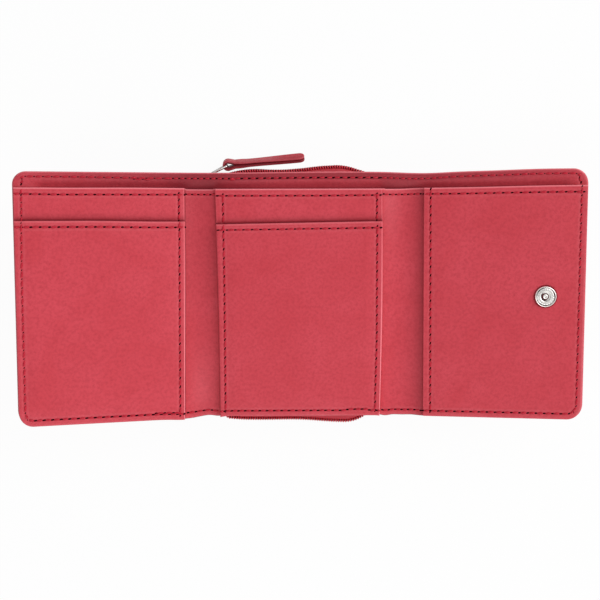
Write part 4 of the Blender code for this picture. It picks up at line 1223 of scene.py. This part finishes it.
def outlineDistance(x, v, low, top, inset):
    # how far inside the outline a point is; past the corners' centres it is measured to their arcs
    d = np.minimum(np.minimum(v - low, top - v), zipLook["right"] - inset - x)
    for corner, sign in (("upper", 1), ("lower", -1)):
        centreX, centreY, radius = zipRuns[corner]
        inCorner = (x > centreX) & (sign * (v - centreY) > 0)
        d = np.where(inCorner, np.minimum(d, radius - inset - np.hypot(x - centreX, v - centreY)), d)
    return np.maximum(d, 0)


def pouchSkin():
    # one leather skin: down the side wall, round the fold, then the flat cover
    thin, thick, fold = pouch["wallThick"] / 2, pouch["coverThick"] / 2, pouch["fold"]
    wallX, coverY = pouch["outer"] + thin, pouch["coverFront"] + thick
    wallKnots = pouch["wallTop"] + np.array([0, 0.1, 0.3, 0.8, 1.6, 2.8, 4.2, 5.8, 7.4])
    turn = np.linspace(0, math.pi / 2, 9)
    columns = outlineColumns(wallX + fold, pouch["inset"])[1:]
    wall, cover = np.ones_like(wallKnots), np.ones_like(columns)
    x = np.concatenate([wallX * wall, wallX + fold * (1 - np.cos(turn)), columns])
    y = np.concatenate([wallKnots, coverY - fold * (1 - np.sin(turn)), coverY * cover])
    normal = np.concatenate([0 * wall, turn, math.pi / 2 * cover])
    low, top = outlineHeights(x, pouch["inset"])
    share = smoothStep((y - pouch["wallTop"] - 4.0) / (coverY - pouch["wallTop"] - 4.0))
    low = pouch["wallLow"] + (low - pouch["wallLow"]) * share
    top = pouch["wallHigh"] + (top - pouch["wallHigh"]) * share
    x, y, normal, low, top = (part[:, None] for part in (x, y, normal, low, top))
    margin = 5.0
    offsets = np.array([0, 0.03, 0.1, 0.2, 0.34, 0.5, 0.75, 1.1, 1.6, 2.1, 2.6, 3.1, 3.8, margin])
    inner = low + margin + (top - low - 2 * margin) * np.linspace(0, 1, 44)[1:-1]
    v = np.concatenate([low + offsets, inner, top - offsets[::-1]], axis=1)
    d = outlineDistance(x, v, low, top, pouch["inset"])
    d = np.minimum(d, y - pouch["wallTop"] + x - wallX)
    half = (thin + (thick - thin) * np.sin(normal)) * np.sqrt(1 - (1 - np.clip(d / 0.5, 0, 1)) ** 2)
    groove = ridges(d, pouch["stitchInset"], 0.6) * np.sin(normal) ** 2
    outward = half - 0.2 * groove * smoothStep(d)
    outer = layDown(x - outward * np.cos(normal), v, y + outward * np.sin(normal))
    back = layDown(x + half * np.cos(normal), v, y - half * np.sin(normal))
    # painted highlight along the rim, and painted shade in the stitch groove
    turned = np.clip(1 - d / 0.5, 0, 1)
    skin = solidSheet("pouchSkin", outer, back, {"turned": (turned, turned), "seam": (0.35 * groove, 0.0)})
    return paint(skin, redLeather)


pouchLeather = pouchSkin()
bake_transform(pouchLeather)
fit(pouchLeather, ["pouch_side_wall", "pouch_cover"])


def coverStitches():
    # a row on the cover that follows the zip's line, stitchInset inside it
    pitch = rows["pitch"]
    middles = np.arange(3.5, zipLength - 3.0, pitch)
    face = pouch["coverFront"] + pouch["coverThick"] - 0.2
    for places, shape, faces, material in (
        (middles, threadShape, threadFaces, 0), (middles[:-1] + pitch / 2, holeShape, holeFaces, 1),
    ):
        along = places[:, None, None] + shape[None, ..., 0]
        out = shape[None, ..., 1] + 0.05 * shape[None, ..., 0] - pouch["inset"] - pouch["stitchInset"]
        points = zipPoint(along, out - lowerTuck(along), face + shape[None, ..., 2])
        addShapes("cover", points, faces, material)


coverStitches()
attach(buildStitches("cover"), "pouch_cover")


def lining(tag, depth, body):
    # thin cloth inside the line of the zip, with slow waves
    columns = outlineColumns(pouch["outer"] + 1.3, pouch["liningInset"], 2.0)
    low, top = outlineHeights(columns, pouch["liningInset"])
    v = low[:, None] + (top - low)[:, None] * np.linspace(0, 1, 50)
    x = columns[:, None]
    depth = depth + 0.05 * np.sin(x / 4.1 + v / 7.3) * np.sin(v / 5.3)
    faces = (layDown(x, v, depth + sign * pouch["liningHalf"]) for sign in (-1, 1))
    piece = paint(solidSheet("pouchLining" + tag, *faces, uv=(x, v)), liningCloth)
    fit(piece, ["pouch_lining_" + tag.lower()], body)


lining("Inner", pouch["liningDepths"][0], "middle")
lining("Outer", pouch["liningDepths"][1], "pouch_cover")
gussetLook = {
    "left": -36.8,
    "long": 18.0,
    "upper": 85.0,             # heights of the two mouths' edges
    "lower": 3.6,
    "deep": 9.0,               # of the fold at its far end; it starts at 0.15 of that
    "plane": 8.6,
    "halfWide": 3.95,
    "half": 0.12,
    "cut": (19.0, 18.4),       # longest and mean length of the flat cloth
}


def gusset(tag, node, edge, sign):
    # a cloth pleat with a softened ridge, deeper away from the side wall: depth = fold * (1 - |a|)
    u, a = np.meshgrid(np.linspace(0, 1, 24), np.linspace(-1, 1, 33), indexing="ij")
    soft = np.sqrt(a ** 2 + 0.01) - 0.1
    fold = (0.15 + 0.85 * u) * gussetLook["deep"] * (1 - np.clip(soft / 0.905, 0, 1))
    height = edge + sign * (fold + 0.12 * np.sin(u * 9.0) * (1 - a ** 2))
    x, deep = gussetLook["left"] + gussetLook["long"] * u, gussetLook["plane"] + a * gussetLook["halfWide"]
    faces = (layDown(x, height + side * gussetLook["half"], deep) for side in (1, -1))
    length = np.concatenate([[0], np.cumsum(np.hypot(np.diff(height[12]), np.diff(deep[12])))])
    piece = paint(solidSheet("gusset" + tag, *faces, uv=(gussetLook["long"] * u, length)), liningCloth)
    fit(piece, [node], "middle")


gusset("Upper", "gusset_top", gussetLook["upper"], -1)
gusset("Lower", "gusset_bottom", gussetLook["lower"], 1)
print("pouch closed")


# slider, link and leather tab
def makeSlider():
    # a welded copy of the solid with its edges rounded
    mesh = frame["nodes"]["slider_body"].data.copy()
    mesh.name = "sliderBody"
    shape = bmesh.new()
    shape.from_mesh(mesh)
    bmesh.ops.remove_doubles(shape, verts=shape.verts, dist=0.002 * mm)
    bmesh.ops.dissolve_limit(shape, angle_limit=math.radians(1.0), verts=shape.verts, edges=shape.edges)
    shape.to_mesh(mesh)
    shape.free()
    mesh.polygons.foreach_set("use_smooth", [True] * len(mesh.polygons))
    piece = bpy.data.objects.new("sliderBody", mesh)
    bpy.context.scene.collection.objects.link(piece)
    bevel = piece.modifiers.new("edges", "BEVEL")
    bevel.width = 0.12 * mm
    bevel.segments = 3
    bevel.limit_method = "ANGLE"
    bevel.angle_limit = math.radians(35)
    bevel.harden_normals = True
    return paint(piece, nickelPlate)


def lowerBridge(piece):
    # what stands out above the coil is pressed down: height' = 1.2 + (height - 1.2) * 0.45
    places = np.empty(len(piece.data.vertices) * 3)
    piece.data.vertices.foreach_get("co", places)
    world = np.array(piece.matrix_world)
    points = places.reshape(-1, 3) @ world[:3, :3].T / mm + world[:3, 3] / mm
    out = np.array([-math.sin(zipRuns["rise"]), math.cos(zipRuns["rise"]), 0.0])
    height = (points - layDown(zipLook["left"], zipLook["topLeft"], 0.0)) @ out
    points = points - 0.55 * np.maximum(height - 1.2, 0.0)[:, None] * out
    points = (points * mm - world[:3, 3]) @ np.linalg.inv(world[:3, :3]).T
    piece.data.vertices.foreach_set("co", points.ravel())
    print("slider stands", round(float(height.max()), 2), "mm off the zip's line")


def cutCorners(corners, radii, steps, limit=0.45):
    # polyline with each inner corner cut by a quadratic curve, a smaller one beside a short side
    corners = np.array(corners, dtype=float)
    path = [corners[:1]]
    radii = np.broadcast_to(radii, len(corners) - 2)
    for before, here, after, radius in zip(corners, corners[1:], corners[2:], radii):
        a, b = before - here, after - here
        near = min(radius, limit * np.linalg.norm(a), limit * np.linalg.norm(b))
        start, end = here + a / np.linalg.norm(a) * near, here + b / np.linalg.norm(b) * near
        t = np.linspace(0, 1, steps)[:, None]
        path.append((1 - t) ** 2 * start + 2 * t * (1 - t) * here + t ** 2 * end)
    return np.concatenate(path + [corners[-1:]])


pull = {
    "linkAngle": 28.0,
    "linkLength": 7.5,
    "linkShift": (0.25, -0.75, 0.0),   # the wire sits this low in the slider's bridge
    "linkWide": 3.8,
    "linkNarrow": 1.7,
    "linkRoll": 8.0,           # link and strap hang rolled over by this many degrees
    "roll": 17.0,
    "wire": 0.42,
    "tabAngle": 5.4,
    "tabFar": 30.1,            # the strap's far end, measured from the tab's joint
    "tabWidth": 4.0,
    "loop": 1.45,
    "loopPly": 1.4,            # thickness of the strap round the link, and of each ply of the body
    "bodyPly": 1.1,
    "bodyStart": 3.0,
    "lift": -0.05,
    "twist": (8.0, 12.0),      # past the link and farther out it turns its broad face up by this much more
}


def pullPoint(start, angle, x, depth, height):
    # x runs out along the pull, height turns with it, depth goes through the wallet
    a = math.radians(angle)
    x, depth, height = np.broadcast_arrays(x, depth, height)
    return np.stack([
        start[0] + x * math.cos(a) - height * math.sin(a), start[1] + x * math.sin(a) + height * math.cos(a),
        start[2] - depth,
    ], axis=-1)


def linkPath():
    # half of a rounded loop, narrow at the slider and wide at the tab, then its mirror image
    far, narrow, wide = pull["linkLength"], pull["linkNarrow"], pull["linkWide"]
    corners = [(0.0, 0.0), (0.0, narrow), (1.41, narrow), (4.71, wide), (far, wide), (far, 0.0)]
    half = cutCorners(corners, (0.675, 0.9, 0.9, 0.81), 9, 1.0)
    loop = np.concatenate([half, half[-2::-1] * (1, -1)])
    length = np.concatenate([[0], np.cumsum(np.linalg.norm(np.diff(loop, axis=0), axis=1))])
    even = np.linspace(0, length[-1], 121)[:-1]
    return np.interp(even, length, loop[:, 0]), np.interp(even, length, loop[:, 1])


def makeLink():
    angle, roll = pull["linkAngle"], math.radians(pull["linkRoll"])
    start = np.array(joints["pull_swing"]["pos_m"]) / mm + pull["linkShift"]
    x, depth = linkPath()
    path = pullPoint(start, angle, x, depth * math.cos(roll), depth * math.sin(roll))
    square = pullPoint((0, 0, 0), angle, 0.0, -math.sin(roll), math.cos(roll))
    around = np.linspace(0, 2 * math.pi, 12, endpoint=False)
    # painted dark reflections along both sides of the wire, and painted shade all round it inside the strap
    sides = 0.95 * smoothStep((np.abs(np.sin(around)) - 0.6) / 0.25)
    inside = 0.97 * smoothStep((x - pull["linkLength"] + 0.55) / 0.3)[:, None]
    linkShadeAndReflection = ("paintedShadeAndReflection", np.maximum(sides, inside))
    return paint(tube("pullLink", path, pull["wire"], 12, square, linkShadeAndReflection, closed=True), nickelPlate)


def strapPath(plyHalf):
    # along the upper ply to the link, round the wire and back as the lower ply
    lift, start = pull["lift"], pull["bodyStart"]
    out = pull["tabFar"] - np.array([0, 0.06, 0.2, 0.45, 0.8, 1.3, 1.9])
    straight = np.concatenate([out, np.linspace(out[-1] - 0.8, start, 34)])
    body = plyHalf(straight) + 0.03
    ease = np.linspace(0, 1, 9)[1:-1]
    turn = np.linspace(math.radians(62), math.radians(298), 25)
    arc = pull["loop"] * np.stack([np.cos(turn), np.sin(turn)], axis=-1)
    plies = []
    for (endX, endHeight), side in ((arc[0], 1), (arc[-1], -1)):
        height = lift + side * body[-1]
        plies.append(np.stack([
            np.concatenate([straight, start + (endX - start) * ease]),
            np.concatenate([lift + side * body, height + (endHeight - height) * smoothStep(ease)]),
        ], axis=-1))
    return np.concatenate([plies[0], arc, plies[1][::-1]])


def tabStrap():
    lift, far, width = pull["lift"], pull["tabFar"], pull["tabWidth"] / 2

    def plyHalf(x):
        thinner = smoothStep((x - pull["bodyStart"]) / 6.0)
        return (pull["loopPly"] + (pull["bodyPly"] - pull["loopPly"]) * thinner) / 2

    path = strapPath(plyHalf)
    way = np.gradient(path, axis=0)
    way /= np.linalg.norm(way, axis=1, keepdims=True)
    x, height, outX, outHeight = (part[:, None] for part in (*path.T, way[:, 1], -way[:, 0]))
    knots = np.array([0, 0.02, 0.07, 0.15, 0.27, 0.42, 0.62, 0.9, 1.3])
    side = np.concatenate([-width + knots, [0.0], (width - knots)[::-1]])
    # the far end is round in plan: the strap's half width there is sqrt(width^2 - reach^2)
    reach = np.clip(x - (far - width), 0, width)
    shrink = np.sqrt(np.clip(width ** 2 - reach ** 2, 0.02, None)) / width
    b = side * shrink
    d = np.minimum((width - np.abs(side)) * shrink, far - x)
    half = plyHalf(x) * (0.06 + 0.94 * np.sqrt(1 - (1 - np.clip(d / 0.4, 0, 1)) ** 2))
    start = np.array(joints["tab_swing"]["pos_m"]) / mm
    faces = []
    for sign in (1, -1):
        # rolled about its middle line by an angle that grows along it: a plain rotation of height and depth
        along, high = x + sign * outX * half, height + sign * outHeight * half - lift
        near, farther = smoothStep((along - 1.0) / 5.0), smoothStep((along - 10.0) / 18.0)
        angle = np.radians(pull["roll"] + pull["twist"][0] * near + pull["twist"][1] * farther)
        depth, high = b * np.cos(angle) - high * np.sin(angle), high * np.cos(angle) + b * np.sin(angle)
        faces.append(pullPoint(start, pull["tabAngle"], along, depth, lift + high))
    # painted highlight at the edges; painted shade darker towards one side of the face and full on the back
    # and inner faces
    turned = 0.35 * np.clip(1 - d / 0.5, 0, 1)
    dark = 0.22 + 0.22 * smoothStep(0.5 - side / width)
    strap = solidSheet("pullTab", *faces, {"turned": (turned, 0.0), "seam": (dark, 1.0)}, sharpAngle=70.0)
    return paint(strap, redLeather)


fit(makeLink(), ["pull_link"], "zip_pull")
sliderBody = makeSlider()
lowerBridge(sliderBody)
fit(sliderBody, ["slider_body"], "zip_slider")
fit(tabStrap(), ["pull_tab"], "pull_tab")
print("slider and pull made")


# snap fastener
def lathe(name, profile, place, base, away, steps=64, ripple=None, marks=None):
    # profile of (radius, height) turned round the flap's normal at (s, v), height counted from w = base
    angle = np.linspace(0, 2 * math.pi, steps, endpoint=False)[None]
    radius, height, angle = np.broadcast_arrays(profile[:, :1], profile[:, 1:], angle)
    if ripple:
        height = height + ripple(radius, angle)
    heading = float(np.interp(place[0], tableS, tableHeading))
    across = np.array([math.cos(heading), 0, math.sin(heading)])
    normal = np.array([-math.sin(heading), 0, math.cos(heading)])
    ring = np.cos(angle)[..., None] * across + np.sin(angle)[..., None] * np.array([0, 1, 0])
    points = wrapPoint(*place, base) + radius[..., None] * ring + away * height[..., None] * normal
    piece = meshObject(name, points, gridFaces(len(profile), steps, closeColumns=True))
    if marks:
        pointAttribute(piece, "paintedShadeAndReflection", marks(radius, angle))
    cleanMesh(piece, 0.0005)
    piece.data.set_sharp_from_angle(angle=math.radians(55))
    return paint(piece, nickelPlate)


def swagedMarks(radius, angle):
    # faint radial crimps pressed into the dished face
    inRing = smoothStep((radius - 1.9) / 0.3) * smoothStep((3.4 - radius) / 0.3)
    return 0.045 * np.sin(angle * 23 + 0.8 * np.sin(3 * angle)) * inRing


def socketShadeAndReflection(radius, angle):
    # painted dark reflections: a broken ring inside the rim and streaks across the dish; painted shadow: a
    # crescent at the left of the hole
    ring = ridges(radius, 3.35, 0.22) * (0.55 + 0.3 * np.sin(3 * angle + 1.0) + 0.15 * np.sin(11 * angle))
    dish = smoothStep((radius - 1.8) / 0.3) * smoothStep((3.3 - radius) / 0.4)
    streaks = dish * (0.16 + 0.12 * np.sin(19 * angle + 2 * radius))
    crescent = smoothStep((1.85 - radius) / 0.15) * smoothStep(0.3 + 1.2 * np.cos(angle - math.radians(205)))
    return np.clip(np.maximum(ring + streaks, 0.95 * crescent) + 0.06, 0, 1)


def postPaintedShade(radius, angle):
    # painted shade in the dip at the post's tip
    return 0.5 * ridges(radius, 0.35, 0.12)


# profiles as (radius, height) before their corners are cut
snapProfiles = {
    "socket": [
        (1.3, 0.02), (3.8, 0.02), (4.0, 0.3), (4.0, 0.85), (3.86, 1.18), (3.68, 1.26), (3.54, 1.12),
        (3.46, 0.72), (3.3, 0.62), (3.16, 0.86), (2.85, 0.95), (2.1, 0.98), (1.82, 0.86), (1.72, 0.6),
        (1.72, 0.1), (1.3, 0.1), (1.3, 0.02),
    ],
    "post": [
        (0.0, 0.42), (0.2, 0.4), (0.38, 0.5), (0.5, 0.62), (0.75, 0.66), (0.95, 0.52), (1.0, 0.3), (0.9, 0.1),
        (0.9, -0.2), (0.95, -4.35), (5.0, -4.37), (5.25, -4.6), (5.0, -5.0), (4.1, -5.35), (2.2, -5.53),
        (0.0, -5.57),
    ],
    "stud": [
        (0.0, 1.35), (0.55, 1.4), (0.8, 1.75), (1.05, 2.02), (1.6, 2.05), (1.87, 1.8), (1.85, 1.45),
        (1.52, 1.0), (1.52, 0.55), (2.4, 0.48), (3.6, 0.42), (4.15, 0.2), (4.1, 0.02), (1.3, 0.0), (1.3, 1.2),
        (0.0, 1.2),
    ],
}
socketProfile, postProfile, studProfile = (
    cutCorners(snapProfiles[name], radius, steps)
    for name, radius, steps in (("socket", 0.12, 5), ("post", 0.2, 4), ("stud", 0.14, 4))
)
socket = lathe("snapSocket", socketProfile, snap["socket"], snap["socketBase"], 1, 96, swagedMarks, socketShadeAndReflection)
cap = lathe("snapCap", postProfile, snap["socket"], snap["socketBase"], 1, marks=postPaintedShade)
stud = lathe("snapStud", studProfile, snap["stud"], snap["studBase"], -1)
fit(socket, ["snap_socket"], "right_flap")
fit(cap, ["snap_cap"], "right_flap")
fit(stud, ["snap_stud"], "left_flap")
for material, nodes in (
    (greyBoard, ("board_middle", "board_left", "board_right")), (nickelPlate, ("snap_spring", "snap_eyelet")),
):
    for node in nodes:
        paint(frame["nodes"][node], material)
print("snap and boards finished")


# floor, light and camera
view = {
    "distance": 350.0, "elevation": 4.83, "azimuth": 0.7, "roll": 0.152, "focal": 901.4,
    "centre": (299.44, 294.7), "pixels": 600, "sensor": 36.0,
}


def makeStage():
    mesh = bpy.data.meshes.new("floor")
    half = 1.6                 # metres
    corners = [(-half, -half, 0), (half, -half, 0), (half, half, 0), (-half, half, 0)]
    mesh.from_pydata(corners, [], [(0, 1, 2, 3)])
    floor = bpy.data.objects.new("floor", mesh)
    bpy.context.scene.collection.objects.link(floor)
    floor.location.z = -0.0002
    material, tree, shader = newMaterial("paleFloor", (0.86, 0.86, 0.86), 0.9)
    rays = addNode(tree, "LightPath").outputs
    seen = maths(tree, "MAXIMUM", rays["Is Camera Ray"], rays["Is Glossy Ray"])
    share = maths(tree, "MULTIPLY", maths(tree, "MAXIMUM", seen, rays["Is Transmission Ray"]), 0.95)
    glow = addNode(tree, "Emission", {"Strength": 1.0}).outputs[0]
    pale = addNode(tree, "MixShader", {0: share, 1: shader.outputs[0], 2: glow}).outputs[0]
    under = addNode(tree, "NewGeometry").outputs["Backfacing"]      # the floor hides nothing from below
    clear = addNode(tree, "BsdfTransparent").outputs[0]
    surface = addNode(tree, "MixShader", {0: under, 1: pale, 2: clear}).outputs[0]
    connect(tree, tree.nodes["Material Output"], {"Surface": surface})
    mesh.materials.append(material)


def addLamp(name, place, target, side, power):
    data = bpy.data.lights.new(name, "AREA")
    data.shape = "RECTANGLE"
    data.size = data.size_y = side
    data.energy = power
    lamp = bpy.data.objects.new(name, data)
    bpy.context.scene.collection.objects.link(lamp)
    lamp.location = place
    lamp.rotation_euler = (Vector(target) - Vector(place)).to_track_quat("-Z", "Y").to_euler()


def makeSky():
    # the sky's strength is 0.37 on the wallet, 0.85 in the metal and 1 behind it
    world = bpy.data.worlds.new("studio")
    world.use_nodes = True
    tree = world.node_tree
    rays = addNode(tree, "LightPath").outputs
    strength = maths(tree, "MULTIPLY_ADD", rays["Is Glossy Ray"], 0.48, 0.37)
    strength = maths(tree, "MAXIMUM", strength, rays["Is Camera Ray"])
    connect(tree, tree.nodes["Background"], {"Color": (1, 1, 1, 1), "Strength": strength})
    bpy.context.scene.world = world


def placeCamera():
    e, az, roll = (math.radians(view[key]) for key in ("elevation", "azimuth", "roll"))
    right = np.array([math.cos(az), -math.sin(az), 0])
    forward = np.array([math.sin(az) * math.cos(e), math.cos(az) * math.cos(e), -math.sin(e)])
    up = np.array([math.sin(az) * math.sin(e), math.cos(az) * math.sin(e), math.cos(e)])
    right, up = right * math.cos(roll) - up * math.sin(roll), right * math.sin(roll) + up * math.cos(roll)
    # the upright wallet laid on its back
    right, forward, up = (Vector((a, c, -b)) for a, b, c in (right, forward, up))
    data = bpy.data.cameras.new("camera")
    pixels = view["pixels"]
    data.lens = view["focal"] * view["sensor"] / pixels
    data.sensor_width = view["sensor"]
    data.shift_x = (pixels / 2 - view["centre"][0]) / pixels
    data.shift_y = (view["centre"][1] - pixels / 2) / pixels
    data.clip_start = 0.01
    camera = bpy.data.objects.new("camera", data)
    bpy.context.scene.collection.objects.link(camera)
    centre = Vector((originX, originY + wrap["shellTop"] / 2, originZ)) * mm
    turn = Matrix((right, up, -forward)).transposed().to_4x4()
    camera.matrix_world = Matrix.Translation(centre - forward * view["distance"] * mm) @ turn
    bpy.context.scene.camera = camera


makeStage()
addLamp("keyLamp", (0.74, 0.36, 0.50), (0, 0, 0.01), 1.0, 8.2)
addLamp("fillLamp", (-0.15, -0.62, 0.5), (0, -0.02, 0.01), 0.7, 2.8)
makeSky()
placeCamera()
bpy.context.scene.view_settings.view_transform = "Standard"
print("stage, lamps and camera set")

bpy.context.view_layer.update()
